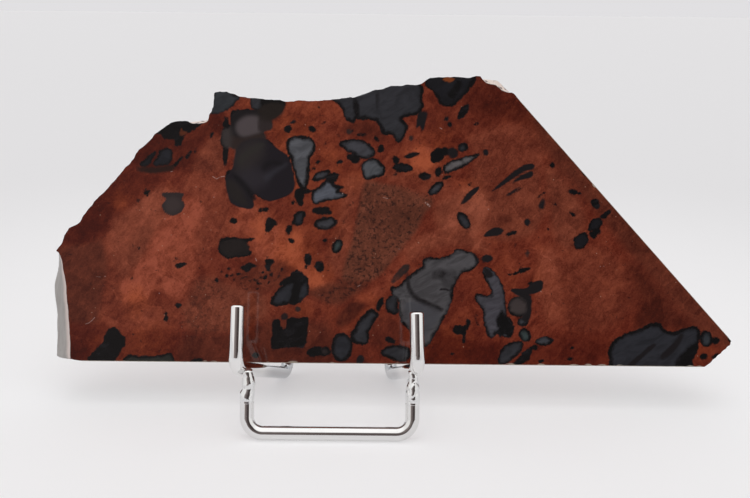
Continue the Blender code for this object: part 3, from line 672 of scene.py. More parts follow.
# The easel: the same bent wires as in the frame, and their softly rounded ends.
WIRE_RADIUS = 1.6 * MM
WIRE_LOOKS = 1.65 * MM
GAP = 0.3 * MM
ARM_SLOPE = math.radians(24)
HOOK_REACH = 18.8 * MM
HOOK_BEND = 3.2 * MM
REAR_BEND = 3.2 * MM
BACKREST_LEAN = math.radians(2.4)
BACKREST_CORNER = 8 * MM
BACKREST_SHORTER = 1.2 * MM
LEG_BEND = 3.7 * MM
LEG_TOP_REACH = 16.7 * MM
BAR_REACH = 19.9 * MM
BAR_HEIGHT = 1.55 * MM
BEND_STEPS = 14
END_ROUNDING = 0.55 * MM
SLIM_LENGTH = 5.2 * MM
SLIM_SHARE = 0.74
SHOULDER_LENGTH = 0.25 * MM
ROUND_END_STEPS = 6
WIRE_FACETS = 7
WIRE_JOINED = 0.01 * MM
WIRE_SHARP = math.radians(50)
LEFT_WIRE = {"tip": -36.6, "front": -36.9, "rear": -27.2, "leg": -34.4, "rise": 16.3}
RIGHT_WIRE = {"tip": 4.4, "front": 4.8, "rear": 0.7, "leg": 3.8, "rise": 15.1}


# Camera, at the photograph's angle: it looks square onto the slab.

def on_slab(along, deep, up):
    """A place in the frame, from its place along, behind and up the slab's polished face."""
    y = EDGE_Y + deep * math.cos(LEAN) + up * math.sin(LEAN)
    z = EDGE_Z - deep * math.sin(LEAN) + up * math.cos(LEAN)
    return Vector((along, y, z))


def make_camera():
    lens = bpy.data.cameras.new("camera")
    lens.sensor_width = SENSOR
    lens.lens = SENSOR * FOCAL_PIXELS / PHOTO_WIDTH
    lens.shift_x = (PHOTO_WIDTH / 2 - SQUARE_ON_X) / PHOTO_WIDTH
    lens.shift_y = (SQUARE_ON_Y - PHOTO_HEIGHT / 2) / PHOTO_WIDTH
    lens.clip_start = NEAREST_SEEN
    camera = bpy.data.objects.new("camera", lens)
    bpy.context.scene.collection.objects.link(camera)
    right = ALONG_FACE * math.cos(ROLL) + UP_FACE * math.sin(ROLL)
    above = UP_FACE * math.cos(ROLL) - ALONG_FACE * math.sin(ROLL)
    camera.matrix_world = Matrix((right, above, OUT_OF_FACE)).transposed().to_4x4()
    camera.location = on_slab(SQUARE_ON_ALONG, 0, SQUARE_ON_UP) + OUT_OF_FACE * FOCAL_PIXELS * PIXEL
    bpy.context.scene.camera = camera


def to_photo(along, up):
    """Pixels of the photograph, from arrays of places on the polished face."""
    right = (along - SQUARE_ON_ALONG) / PIXEL
    down = (SQUARE_ON_UP - up) / PIXEL
    x = SQUARE_ON_X + right - ROLL * down
    y = SQUARE_ON_Y + down + ROLL * right
    return np.stack([x, y], axis=-1)


def on_face(x, y):
    """Place along and up the polished face, from one pixel of the photograph."""
    right = x - SQUARE_ON_X + ROLL * (y - SQUARE_ON_Y)
    down = y - SQUARE_ON_Y - ROLL * (x - SQUARE_ON_X)
    return np.array((SQUARE_ON_ALONG + right * PIXEL, SQUARE_ON_UP - down * PIXEL))


def seen_at(x, y):
    """The place in the frame, on the polished face, of one pixel of the photograph."""
    along, up = on_face(x, y)
    return on_slab(along, 0, up)


# Materials: numbers as Python expressions, and one method for any other node.

class Number:
    """A number in a material. An expression on it adds the Math nodes that work it out."""

    def __init__(self, finish, socket):
        self.finish = finish
        self.socket = socket

    def maths(self, operation, *values):
        inputs = dict(enumerate(values))
        return self.finish.node("ShaderNodeMath", {"operation": operation}, inputs)

    def __add__(self, other):
        return self.maths("ADD", self, other)

    def __sub__(self, other):
        return self.maths("SUBTRACT", self, other)

    def __rsub__(self, other):
        return self.maths("SUBTRACT", other, self)

    def __mul__(self, other):
        return self.maths("MULTIPLY", self, other)

    def __truediv__(self, other):
        return self.maths("DIVIDE", self, other)

    __radd__ = __add__
    __rmul__ = __mul__

    def size(self):
        return self.maths("ABSOLUTE", self)

    def over(self, other):
        return self.maths("MAXIMUM", self, other)

    def swing(self, amount):
        """A noise as a change either way, as large as amount from its least to its greatest."""
        return (self - 0.5) * amount

    def patches(self, name):
        """Patches where the value is in the range that the table has under that name."""
        begins, full, strength = PATCHES[name]
        return self.step(begins, full) * strength

    def step(self, low, high):
        """0 at low and 1 at high, smoothly between; low may be the greater of the two."""
        settings = {"interpolation_type": "SMOOTHSTEP"}
        if low < high:
            return self.finish.node("ShaderNodeMapRange", settings, {0: self, 1: low, 2: high})
        falling = {0: self, 1: high, 2: low, 3: 1.0, 4: 0.0}
        return self.finish.node("ShaderNodeMapRange", settings, falling)


class Finish:
    """A material or world in the making."""

    def __init__(self, owner):
        owner.use_nodes = True
        self.owner = owner
        self.tree = owner.node_tree
        self.tree.nodes.clear()

    def node(self, kind, settings, inputs, output=0):
        """Any node: its settings are made first, then its sockets get their values or links."""
        made = self.tree.nodes.new(kind)
        for name, value in settings.items():
            if name == "stops":
                self.set_stops(made.color_ramp, value)
            else:
                setattr(made, name, value)
        for name, value in inputs.items():
            socket = made.inputs[name]
            if isinstance(value, Number):
                value = value.socket
            if isinstance(value, bpy.types.NodeSocket):
                self.tree.links.new(value, socket)
            elif socket.type == "RGBA":
                socket.default_value = (*value, 1.0)
            else:
                socket.default_value = value
        if not made.outputs:
            return None
        found = made.outputs[output]
        return Number(self, found) if found.type == "VALUE" else found

    def set_stops(self, ramp, stops):
        while len(ramp.elements) < len(stops):
            ramp.elements.new(0.5)
        for element, (place, colour) in zip(ramp.elements, stops):
            element.position = place
            element.color = (*colour, 1.0)

    def attribute(self, name):
        return self.node("ShaderNodeAttribute", {"attribute_name": name}, {}, "Fac")

    def colour_attribute(self, name):
        return self.node("ShaderNodeAttribute", {"attribute_name": name}, {}, "Color")

    def coordinates(self, turn=(0, 0, 0), stretch=(1, 1, 1)):
        """Places on the piece, for a pattern that is stretched and then turned."""
        places = self.node("ShaderNodeTexCoord", {}, {}, "Object")
        inputs = {"Vector": places, "Rotation": turn, "Scale": stretch}
        return self.node("ShaderNodeMapping", {"vector_type": "TEXTURE"}, inputs)

    def noise(self, name, places):
        """Cloudy noise from 0 to 1, as the table of patterns has it under that name."""
        size, detail, roughness, distortion = PATTERNS[name]
        inputs = {"Vector": places, "Scale": 1 / size, "Detail": detail, "Roughness": roughness,
                  "Distortion": distortion}
        return self.node("ShaderNodeTexNoise", {}, inputs)

    def cells(self, places, size, output, **settings):
        """Cells about one size across: their colours, or the distance to their middles or edges."""
        inputs = {"Vector": places, "Scale": 1 / size}
        return self.node("ShaderNodeTexVoronoi", settings, inputs, output)

    def shifted(self, places, size, amount):
        """Places pushed about by a noise, so that a pattern read there runs unevenly."""
        inputs = {"Vector": places, "Scale": 1 / size, "Detail": 2.0}
        push = self.node("ShaderNodeTexNoise", {}, inputs, "Color")
        centred = self.vector_maths("SUBTRACT", push, (0.5, 0.5, 0.5))
        scaled = self.node("ShaderNodeVectorMath", {"operation": "SCALE"}, {0: centred, "Scale": amount})
        return self.vector_maths("ADD", places, scaled)

    def vector_maths(self, operation, *values, output=0):
        return self.node("ShaderNodeVectorMath", {"operation": operation}, dict(enumerate(values)), output)

    def mix(self, factor, first, second):
        inputs = {"Factor": factor, 6: first, 7: second}
        return self.node("ShaderNodeMix", {"data_type": "RGBA"}, inputs, 2)

    def ramp(self, value, stops):
        return self.node("ShaderNodeValToRGB", {"stops": stops}, {"Fac": value}, "Color")

    def bump(self, name, height):
        distance, strength = BUMPS[name]
        inputs = {"Height": height, "Distance": distance, "Strength": strength}
        return self.node("ShaderNodeBump", {}, inputs)

    def surface(self, **sockets):
        """The shader itself: each argument names a socket, with _ for a space."""
        inputs = {name.replace("_", " "): value for name, value in sockets.items()}
        shader = self.node("ShaderNodeBsdfPrincipled", {}, inputs)
        self.node("ShaderNodeOutputMaterial", {}, {"Surface": shader})
        return self.owner


def new_finish(name):
    return Finish(bpy.data.materials.new(name))


# The noises in the materials: how large, how detailed, how rough and how twisted each is.
PATTERNS = {
    "clouds": (17 * MM, 3, 0.5, 0),
    "mottle": (3.2 * MM, 6, 0.68, 0),
    "flow": (1.6 * MM, 5, 0.64, 0.6),
    "fibres": (0.8 * MM, 3, 0.5, 0),
    "grain": (0.4 * MM, 3, 0.62, 0),
    "healed cracks": (5 * MM, 2, 0.5, 0),
    "speckles": (0.9 * MM, 4, 0.7, 0),
    "flecks": (1.2 * MM, 4, 0.62, 0),
    "dot groups": (4 * MM, 2, 0.5, 0),
    "smoke": (2.4 * MM, 5, 0.6, 1.2),
    "deep haze": (7 * MM, 2, 0.5, 0),
    "fringe": (1.0 * MM, 4, 0.7, 0),
    "wander": (2.6 * MM, 3, 0.5, 0),
    "worn scratches": (0.6 * MM, 2, 0.5, 0),
    "smudges": (22 * MM, 4, 0.6, 0),
    "polish waves": (9 * MM, 2, 0.5, 0),
    "scars": (1.2 * MM, 3, 0.5, 0),
    "ripples": (0.9 * MM, 3, 0.5, 0),
    "frost": (1.6 * MM, 3, 0.5, 0),
    "saw marks": (0.35 * MM, 2, 0.5, 0),
    "end streaks": (0.9 * MM, 4, 0.6, 0),
    "end specks": (0.8 * MM, 3, 0.5, 0),
    "grit": (0.3 * MM, 2, 0.5, 0),
    "fingerprints": (6 * MM, 4, 0.6, 0),
    "pits": (0.8 * MM, 2, 0.5, 0),
    "wire waves": (3.5 * MM, 2, 0.5, 0),
    "weld lumps": (0.9 * MM, 3, 0.5, 0),
}

# Patches of a colour or finish: the value at which each begins, the value at which it is full, and its
# strength there. It grows towards lower values where the first is the greater.
PATCHES = {
    "cracks": (0.025, 0.0, 1),
    "pale cracks": (0.52, 0.6, 0.12),
    "dark cracks": (0.46, 0.4, 0.08),
    "warm": (0.52, 1.17, 1),
    "speckles": (0.5, 0.62, 0.75),
    "flecks": (0.64, 0.72, 0.7),
    "dots": (0.1, 0.06, 0.5),
    "dot groups": (0.56, 0.62, 1),
    "haze": (0.42, 0.8, 1),
    "deep haze": (0.4, 0.6, 1),
    "glass": (0.2, -0.2, 1),
    "dark smoke": (0.68, 0.3, 0.45),
    "heart": (0.25, -0.65, 1),
    "inside a veil": (0.0, 0.25, 1),
    "veil": (0.08, 0.8, 1),
    "worn scratches": (0.3, 0.55, 0.6),
    "scars": (0.25, 0.55, 1),
    "chamfer": (0.07, 0.03, 1),
    "frost": (0.3, 0.6, 0.5),
    "end streaks": (0.3, 0.75, 0.5),
    "pink rim": (0.14, 0.02, 0.85),
    "mirrored back": (0.85, 1.0, 0.3),
    "end specks": (0.68, 0.76, 0.5),
    "pits": (0.7, 0.78, 1),
    "fingerprints": (0.5, 0.8, 0.35),
    "weld pits": (0.33, 0.27, 1),
}

# Colours of the mahogany, from its darkest red to its lightest, and where it is oranger or browner.
MAHOGANY_STOPS = [
    (0.0, (0.028, 0.0052, 0.004)), (0.22, (0.07, 0.0096, 0.0055)), (0.45, (0.135, 0.0222, 0.0112)),
    (0.7, (0.23, 0.047, 0.0235)), (1.0, (0.36, 0.083, 0.0455))]
ORANGE_STOPS = [
    (0.0, (0.035, 0.0052, 0.0035)), (0.25, (0.095, 0.0132, 0.0062)), (0.5, (0.18, 0.033, 0.0132)),
    (0.75, (0.28, 0.056, 0.023)), (1.0, (0.4, 0.089, 0.038))]
BROWN_STOPS = [
    (0.0, (0.024, 0.0075, 0.0055)), (0.25, (0.068, 0.02, 0.012)), (0.5, (0.135, 0.0395, 0.0222)),
    (0.75, (0.225, 0.066, 0.037)), (1.0, (0.32, 0.1, 0.057))]
SPECKLE = (0.016, 0.009, 0.008)
FLECK = (0.018, 0.009, 0.008)
PALE_DOT = (0.55, 0.34, 0.24)
BLACK_GLASS = (0.0065, 0.0062, 0.0065)
SMOKY_GLASS = (0.017, 0.0155, 0.018)
SCRATCHED = (0.5, 0.34, 0.3)
# Painted light: pale scars where light shines through a thin flake.
THIN_FLAKE_GLOW = (0.75, 0.62, 0.55)
FROST = (0.42, 0.36, 0.28)
# Painted reflection: the left end's break is pale grey as the white room mirrored at a grazing angle.
END_MIRRORED_GREY = (0.4, 0.375, 0.36)
END_STREAK = (0.26, 0.235, 0.22)
END_MIRRORED_PALER = (0.5, 0.48, 0.46)
END_SPECK = (0.12, 0.1, 0.09)
# Painted light: the thin pink rim of the left end, lit through its thin edge.
LIT_PINK_RIM = (0.72, 0.6, 0.56)
STONE_DUST = (0.3, 0.27, 0.25)

# Colours of the plating: the cradle, and its painted shade where it runs under the slab; the foot, darkened
# as painted shade; its dull spots; and the welds, with a painted dark reflection in their pits.
CHROME = (0.82, 0.815, 0.81)
# Painted shade: the cradle's plating where it runs low and under the slab.
CHROME_IN_PAINTED_SHADE = (0.52, 0.525, 0.54)
# Painted shade: the foot's plating is a darker copy of the cradle's.
SHADED_FOOT_CHROME = (0.76, 0.755, 0.75)
CHROME_DULL = (0.6, 0.595, 0.59)
WELD = (0.76, 0.76, 0.76)
# Painted reflection: the dark window mirrored in the weld's pits.
PIT_DARK_REFLECTION = (0.1, 0.1, 0.11)

# How much a noise changes a value, from its least to its greatest.
SWINGS = {
    "clouds": 0.2, "mottle": 0.42, "flow": 0.42, "fibres": 0.32, "grain": 0.42, "fringe": 1.3,
    "wander": 1.6, "heart smoke": 1.2, "veil smoke": 0.8,
}

# The roughness of each finish at its smoothest, and what its marks add.
ROUGHNESS = {
    "polish": 0.035, "smudges": 0.05, "scratches": 0.3, "broken glass": 0.12, "scars": 0.35,
    "sawn stone": 0.42, "frost": 0.3, "end break": 0.38, "end streaks": 0.2, "back": 0.4, "grit": 0.15,
    "chrome": 0.035, "fingerprints": 0.06, "pits": 0.1, "weld": 0.08, "weld pits": 0.3,
}

# How deep a noise is pressed into a surface, and how strongly that shows.
BUMPS = {
    "polish waves": (0.01 * MM, 0.4), "ripples": (0.12 * MM, 0.6), "saw marks": (0.05 * MM, 0.6),
    "end streaks": (0.1 * MM, 0.5), "back marks": (0.05 * MM, 0.5), "wire waves": (0.05 * MM, 0.5),
    "weld lumps": (0.08 * MM, 0.6),
}

# How the stone flowed, seen on the polished face: its bands, its finest fibres and the smoke in the glass.
FLOW_TURN = math.radians(-38)
FLOW_STRETCH = (3.5, 1, 1)
FIBRE_TURN = math.radians(-62)
FIBRE_STRETCH = (6, 1, 1)
SMOKE_TURN = math.radians(-24)
SMOKE_STRETCH = (2.6, 1, 1)

# How large and how far the stone's patterns are pushed about, and the ripples of its broken edges.
STONE_SHIFT = (3 * MM, 1.2 * MM)
RIPPLE_SHIFT = (5 * MM, 3 * MM)

# The fragments come in two sizes, each with how much their tones differ. Healed cracks run between larger
# ones, and pale dots lie further apart.
SHARDS = [(5 * MM, 0.14), (1.7 * MM, 0.1)]
CRACK_SPACING = 6 * MM
DOT_SPACING = 1.6 * MM

# How the mahogany's changes grow from its dark zones to its light ones, and what makes it turn to orange.
CHANGE_IN_DARK = 0.42
CHANGE_IN_LIGHT = 1.1
ORANGE_LIFT = 0.02
WARM_BY_PLACE = 0.8
WARM_BY_MOTTLE = 1.1

# How far the fringe of the black glass frays the hearts and the veils.
HEART_FRINGE = 0.8
VEIL_FRINGE = 0.35

# A scratch fades out between these shares of its half width.
SCRATCH_BORDER = (1.5, 0.5)

# The sheen of the polish, the black that deepens the breaks, the frost on the saw cuts, with painted
# highlight on their chamfer, and the dust.
POLISH_SHINE = 0.36
GLASS_IOR = 1.5
BREAKS_DEEPENED = 0.55
SAWN_FROST = 0.16
CHAMFER_FROST_AND_HIGHLIGHT = 0.2
BACK_DUST = 0.1

# Streaks down the sloping break at the left end, and the curved marks of the saw on the back.
END_STREAK_STRETCH = (1, 1, 8)
SAW_TURN = 0.4
SAW_SPACING = 9 * MM
SAW_WOBBLE = {"Distortion": 2.5, "Detail": 3.0, "Detail Scale": 1.5}
SAW_DEPTH = 0.5
GRIT_DEPTH = 0.25

# Where painted shade turns the cradle's plating greyer under the slab, by y and by z, and how far its pits
# are dulled.
PAINTED_SHADE_FROM_Y = EDGE_Y - 7 * MM
PAINTED_SHADE_TO_Y = EDGE_Y + 4 * MM
PAINTED_SHADE_FULL_Z = 9 * MM
PAINTED_SHADE_FADES_Z = 13 * MM
PITS_DULLED = 0.3


def mahogany(finish, places, moved):
    """The red stone: fragments of differing tone, run through with flow lines, specks and healed cracks."""
    read_at = {"clouds": places, "mottle": moved, "grain": places}
    read_at["flow"] = finish.coordinates(turn=(0, FLOW_TURN, 0), stretch=FLOW_STRETCH)
    read_at["fibres"] = finish.coordinates(turn=(0, FIBRE_TURN, 0), stretch=FIBRE_STRETCH)
    found = {name: finish.noise(name, where) for name, where in read_at.items()}
    change = sum(noise.swing(SWINGS[name]) for name, noise in found.items())
    for size, amount in SHARDS:
        shard = finish.cells(moved, size, "Color")
        shade = finish.node("ShaderNodeSeparateColor", {}, {"Color": shard}, "Red")
        change = change + shade.swing(amount)
    cracks = finish.cells(moved, CRACK_SPACING, "Distance", feature="DISTANCE_TO_EDGE").patches("cracks")
    healed = finish.noise("healed cracks", places)
    change = change + cracks * (healed.patches("pale cracks") - healed.patches("dark cracks"))
    zone = finish.attribute("tone")
    tone = zone + change * (zone * CHANGE_IN_LIGHT + CHANGE_IN_DARK)
    red = finish.ramp(tone, MAHOGANY_STOPS)
    orange = finish.ramp(tone + ORANGE_LIFT, ORANGE_STOPS)
    brown = finish.ramp(tone, BROWN_STOPS)
    warmth = finish.attribute("warm") * WARM_BY_PLACE + found["mottle"] * WARM_BY_MOTTLE
    colour = finish.mix(warmth.patches("warm"), red, orange)
    colour = finish.mix(finish.attribute("brown"), colour, brown)

    speckled = finish.attribute("speckled") * finish.noise("speckles", places).patches("speckles")
    colour = finish.mix(speckled, colour, SPECKLE)
    colour = finish.mix(finish.noise("flecks", moved).patches("flecks"), colour, FLECK)
    dots = finish.cells(places, DOT_SPACING, "Distance").patches("dots")
    return finish.mix(dots * finish.noise("dot groups", places).patches("dot groups"), colour, PALE_DOT)


def stone_colour(finish, places):
    """Colour of the stone anywhere on the slab: mahogany, black glass, its grey hearts and the veils."""
    moved = finish.shifted(places, *STONE_SHIFT)
    colour = mahogany(finish, places, moved)
    smoke = finish.noise("smoke", finish.coordinates(turn=(0, SMOKE_TURN, 0), stretch=SMOKE_STRETCH))
    hazy = smoke.patches("haze") * finish.noise("deep haze", moved).patches("deep haze")
    black = finish.mix(hazy, BLACK_GLASS, SMOKY_GLASS)

    fringe = finish.noise("fringe", places).swing(SWINGS["fringe"])
    glass = finish.attribute("glass") + fringe
    colour = finish.mix(glass.patches("glass"), colour, black)
    heart = finish.attribute("heart") + fringe * HEART_FRINGE + smoke.swing(SWINGS["heart smoke"])
    heart = heart + finish.noise("wander", places).swing(SWINGS["wander"])
    heart_colour = finish.mix(smoke.patches("dark smoke"), finish.colour_attribute("heart_colour"), black)
    colour = finish.mix(heart.patches("heart"), colour, heart_colour)
    veil = finish.attribute("veil")
    ragged = (fringe * VEIL_FRINGE + smoke.swing(SWINGS["veil smoke"])) * veil.patches("inside a veil")
    return finish.mix((veil + ragged).patches("veil"), colour, finish.colour_attribute("veil_colour"))


def scratches(finish, places):
    """Short pale marks in the polish: 1 on a scratch and 0 elsewhere."""
    marks = 0.0
    for x0, y0, x1, y1, half_width in SCRATCHES:
        start, end = seen_at(x0, y0), seen_at(x1, y1)
        along = (end - start).normalized()
        across = along.cross(OUT_OF_FACE)
        offset = finish.vector_maths("SUBTRACT", places, (start + end) / 2)
        lengthways, sideways = [
            finish.vector_maths("DOT_PRODUCT", offset, axis, output="Value").size()
            for axis in (along, across)
        ]
        half_length = (end - start).length / 2
        wide = half_width * PIXEL
        outer, inner = [wide * share for share in SCRATCH_BORDER]
        marks = lengthways.step(half_length + wide, half_length) * sideways.step(outer, inner) + marks
    return marks


def polished_stone():
    finish = new_finish("polished_stone")
    places = finish.coordinates()
    scratch = scratches(finish, places) * finish.noise("worn scratches", places).patches("worn scratches")
    colour = finish.mix(scratch, stone_colour(finish, places), SCRATCHED)
    smudge = finish.noise("smudges", places) * ROUGHNESS["smudges"]
    roughness = smudge + scratch * ROUGHNESS["scratches"] + ROUGHNESS["polish"]
    return finish.surface(Base_Color=colour, Roughness=roughness, Specular_IOR_Level=POLISH_SHINE,
                          Normal=finish.bump("polish waves", finish.noise("polish waves", places)))


def broken_glass():
    """The struck edges: dark, wet-looking glass with shell-like ripples, and painted light that makes a thin
    flake pale.
    """
    finish = new_finish("broken_glass")
    places = finish.coordinates()
    dark = finish.mix(BREAKS_DEEPENED, stone_colour(finish, places), BLACK_GLASS)
    pale = finish.attribute("flake") * finish.noise("scars", places).patches("scars")
    colour = finish.mix(pale, dark, THIN_FLAKE_GLOW)
    roughness = pale * ROUGHNESS["scars"] + ROUGHNESS["broken glass"]
    ripples = finish.noise("ripples", finish.shifted(places, *RIPPLE_SHIFT))
    return finish.surface(Base_Color=colour, Roughness=roughness, IOR=GLASS_IOR,
                          Normal=finish.bump("ripples", ripples))


def sawn_stone():
    """The sawn edges: a pale line on the chamfer, partly its real frost and partly painted highlight where
    it catches the light, and crescent chips.
    """
    finish = new_finish("sawn_stone")
    places = finish.coordinates()
    chamfer = finish.attribute("deep").patches("chamfer")
    # frost and painted highlight along the chamfer
    frost = chamfer * (finish.noise("frost", places).patches("frost") + CHAMFER_FROST_AND_HIGHLIGHT)
    colour = finish.mix(SAWN_FROST, stone_colour(finish, places), FROST)
    colour = finish.mix(frost, colour, FROST)
    roughness = frost * ROUGHNESS["frost"] + ROUGHNESS["sawn stone"]
    return finish.surface(Base_Color=colour, Roughness=roughness, IOR=GLASS_IOR,
                          Normal=finish.bump("saw marks", finish.noise("saw marks", places)))


def end_break_mirrored():
    """The sloping break at the left end: painted pale grey, a painted reflection of the white room at a
    grazing angle, streaked down its length, with a thin pink rim of painted light shining through its thin
    edge.
    """
    finish = new_finish("end_break_mirrored")
    places = finish.coordinates()
    streaks = finish.noise("end streaks", finish.coordinates(stretch=END_STREAK_STRETCH))
    colour = finish.mix(streaks.patches("end streaks"), END_MIRRORED_GREY, END_STREAK)
    deep = finish.attribute("deep")
    # painted light on the thin pink rim, then the painted reflection paler towards the back
    colour = finish.mix(deep.patches("pink rim"), colour, LIT_PINK_RIM)
    colour = finish.mix(deep.patches("mirrored back"), colour, END_MIRRORED_PALER)
    colour = finish.mix(finish.noise("end specks", places).patches("end specks"), colour, END_SPECK)
    roughness = streaks * ROUGHNESS["end streaks"] + ROUGHNESS["end break"]
    return finish.surface(Base_Color=colour, Roughness=roughness, IOR=GLASS_IOR,
                          Normal=finish.bump("end streaks", streaks))


def sawn_back():
    """The back, left as the saw cut it: duller, with faint curved saw marks."""
    finish = new_finish("sawn_back")
    places = finish.coordinates()
    colour = finish.mix(BACK_DUST, stone_colour(finish, places), STONE_DUST)
    arcs = {"Vector": finish.coordinates(turn=(0, SAW_TURN, 0)), "Scale": 1 / SAW_SPACING, **SAW_WOBBLE}
    marks = finish.node("ShaderNodeTexWave", {"wave_type": "RINGS", "rings_direction": "Y"}, arcs, "Fac")
    grit = finish.noise("grit", places)
    roughness = grit * ROUGHNESS["grit"] + ROUGHNESS["back"]
    return finish.surface(Base_Color=colour, Roughness=roughness, IOR=GLASS_IOR,
                          Normal=finish.bump("back marks", marks * SAW_DEPTH + grit * GRIT_DEPTH))


def chromed_wire(name, bright, under):
    """Bright plating over drawn wire: faint waves, smudges and a few dull pits; painted shade makes it
    greyer where it runs under the slab.
    """
    finish = new_finish(name)
    places = finish.coordinates()
    smudge = finish.noise("fingerprints", places)
    pits = finish.noise("pits", places).patches("pits")
    y, z = [finish.node("ShaderNodeSeparateXYZ", {}, {"Vector": places}, axis) for axis in ("Y", "Z")]
    # painted shade: greyer where the wire runs low and under the slab
    colour = finish.mix(y.step(PAINTED_SHADE_FROM_Y, PAINTED_SHADE_TO_Y) * z.step(PAINTED_SHADE_FADES_Z, PAINTED_SHADE_FULL_Z), bright, under)
    colour = finish.mix(smudge.patches("fingerprints") + pits * PITS_DULLED, colour, CHROME_DULL)
    roughness = smudge * ROUGHNESS["fingerprints"] + pits * ROUGHNESS["pits"] + ROUGHNESS["chrome"]
    return finish.surface(Base_Color=colour, Metallic=1.0, Roughness=roughness,
                          Normal=finish.bump("wire waves", finish.noise("wire waves", places)))


def weld_metal():
    """The same plating over the lumpy, pitted metal of a weld, its pits painted dark as a painted reflection
    of the dark window.
    """
    finish = new_finish("weld_metal")
    lumps = finish.noise("weld lumps", finish.coordinates())
    pits = lumps.patches("weld pits")
    roughness = pits * ROUGHNESS["weld pits"] + ROUGHNESS["weld"]
    return finish.surface(Base_Color=finish.mix(pits, WELD, PIT_DARK_REFLECTION), Metallic=1.0, Roughness=roughness,
                          Normal=finish.bump("weld lumps", lumps))


# The slab: a fine grid for its face, pushed back layer by layer, and then laid into its outline.

# A length too small to matter, and points of the unit block that are one.
NO_LENGTH = 1e-9
SAME_PLACE = 1e-5


def spaced(stretches, count):
    """Places evenly spaced along joined straight runs, with how each was made."""
    corners = []
    for points, kind in stretches:
        corners += [(Vector(a) * MM, Vector(b) * MM, kind) for a, b in zip(points, points[1:])]
    whole = sum((b - a).length for a, b, kind in corners)
    found = []
    walked = 0
    for a, b, kind in corners:
        length = (b - a).length
        while len(found) <= count and len(found) / count * whole <= walked + length + NO_LENGTH:
            reach = (len(found) / count * whole - walked) / length
            found.append((a.lerp(b, min(1, reach)), kind))
        walked += length
    return found


def flake_bite(point):
    """How far the struck flakes take the polished face back there, and how pale their scars are painted, as
    light shining through the thin flakes.
    """
    bite = 0.0
    pale = 0.0
    for along, up, half_width, depth, whiteness in FLAKES:
        away = (point - Vector((along, up)) * MM).length / (half_width * MM)
        if away < 1:
            bite = max(bite, depth * MM * math.sqrt(1 - away * away))
            pale = max(pale, whiteness)
    return bite, pale


def crescent_bite(point):
    """How far the crescents take the front chamfer back there."""
    bite = 0.0
    for x, y, half_width, depth in CRESCENTS:
        away = (point - Vector(on_face(x, y))).length / (half_width * MM)
        if away < 1:
            bite = max(bite, depth * MM * math.sqrt(1 - away * away))
    return bite


def edge_inset(point, kind, layer):
    """How far inside the outline the edge lies there, from the polished face, 0, to the back, 1."""
    if kind == "sawn":
        front = SAWN_CHAMFER + crescent_bite(point)
        back_share = (layer - BACK_CHAMFER_LAYER) / (1 - BACK_CHAMFER_LAYER)
        return front * max(0.0, 1 - layer / CHAMFER_LAYER) + SAWN_CHAMFER * max(0.0, back_share)
    place = Vector((point.x, point.y, layer * THICKNESS))
    relief = EDGE_RELIEF * noise.noise(place / EDGE_SCALE) + RIPPLE * noise.noise(place / RIPPLE_SCALE)
    slope = END_INSET * max(0.0, 1 - layer / END_CREST) ** END_CURVE
    slope += END_BACK * max(0.0, layer - END_CREST) ** 2
    if kind == "end":
        height = min(1.0, max(0.0, 1 - point.y / END_TOP))
        swelling = math.exp(-(((point.y - END_BULGE_UP) / END_BULGE_REACH) ** 2))
        bulge = END_BULGE * swelling * min(1, layer / END_CREST)
        return relief * END_RELIEF + slope * height**END_GROWTH - END_SWELL * height - bulge
    if kind == "foot":
        out = min(1.0, (FOOT_FROM - point.x) / (FOOT_FROM - FOOT_TO))
        return (slope - END_SWELL) * max(0.0, out)
    flat = Vector((point.x, point.y, 0))
    swing = BACK_INSET_SWING * noise.noise(flat / BACK_SCALE)
    cusps = SERRATION * abs(noise.noise(flat / SERRATION_SCALE)) * max(0.0, 1 - layer / SERRATION_LAYER)
    inset = relief + cusps + (BACK_INSET + swing) * layer**2
    return inset + flake_bite(point)[0] * max(0.0, 1 - layer / FLAKE_LAYER)


def slab_ring():
    """Round the face from its lower left corner: right, up, back over the top, and down."""
    bottom = spaced(BOTTOM_SIDE, COLUMNS)
    right = spaced(RIGHT_SIDE, ROWS)
    top = spaced(TOP_SIDE, COLUMNS)
    left = spaced(LEFT_SIDE, ROWS)
    return bottom[:-1] + right[:-1] + top[:0:-1] + left[:0:-1]


def layer_places(ring, layer):
    """The ring drawn in by the edge's shape at one layer, as an array of places on the face."""
    count = len(ring)
    places = []
    for index, (point, kind) in enumerate(ring):
        before = ring[index - BLEND_STEPS][0]
        after = ring[(index + BLEND_STEPS) % count][0]
        along = (after - before).normalized()
        inward = Vector((-along.y, along.x))
        move = Vector((0, 0))
        for step in range(-BLEND_STEPS, BLEND_STEPS + 1):
            near = ring[(index + step) % count][1]
            direction = Vector((1, 0)) if near in ("end", "foot") else inward
            move += direction * edge_inset(point, near, layer) / (2 * BLEND_STEPS + 1)
        places.append(point + move)
    return np.array(places)


def ring_index(column, row):
    """Where a grid point of the border comes in the ring."""
    if row == 0:
        return column
    if column == COLUMNS:
        return COLUMNS + row
    if row == ROWS:
        return 2 * COLUMNS + ROWS - column
    return 2 * COLUMNS + 2 * ROWS - row


def filled(ring, columns, rows):
    """Places inside a ring, for arrays of grid steps: each is led by the four sides it lies between."""
    u = (columns / COLUMNS)[:, None]
    v = (rows / ROWS)[:, None]
    whole = len(ring)
    bottom = ring[columns.astype(int)]
    top = ring[(2 * COLUMNS + ROWS - columns.astype(int)) % whole]
    right = ring[COLUMNS + rows.astype(int)]
    left = ring[(2 * COLUMNS + 2 * ROWS - rows.astype(int)) % whole]
    low_left, low_right = ring[0], ring[COLUMNS]
    high_right, high_left = ring[COLUMNS + ROWS], ring[2 * COLUMNS + ROWS]
    corners = (1 - u) * ((1 - v) * low_left + v * high_left) + u * ((1 - v) * low_right + v * high_right)
    return (1 - v) * bottom + v * top + (1 - u) * left + u * right - corners


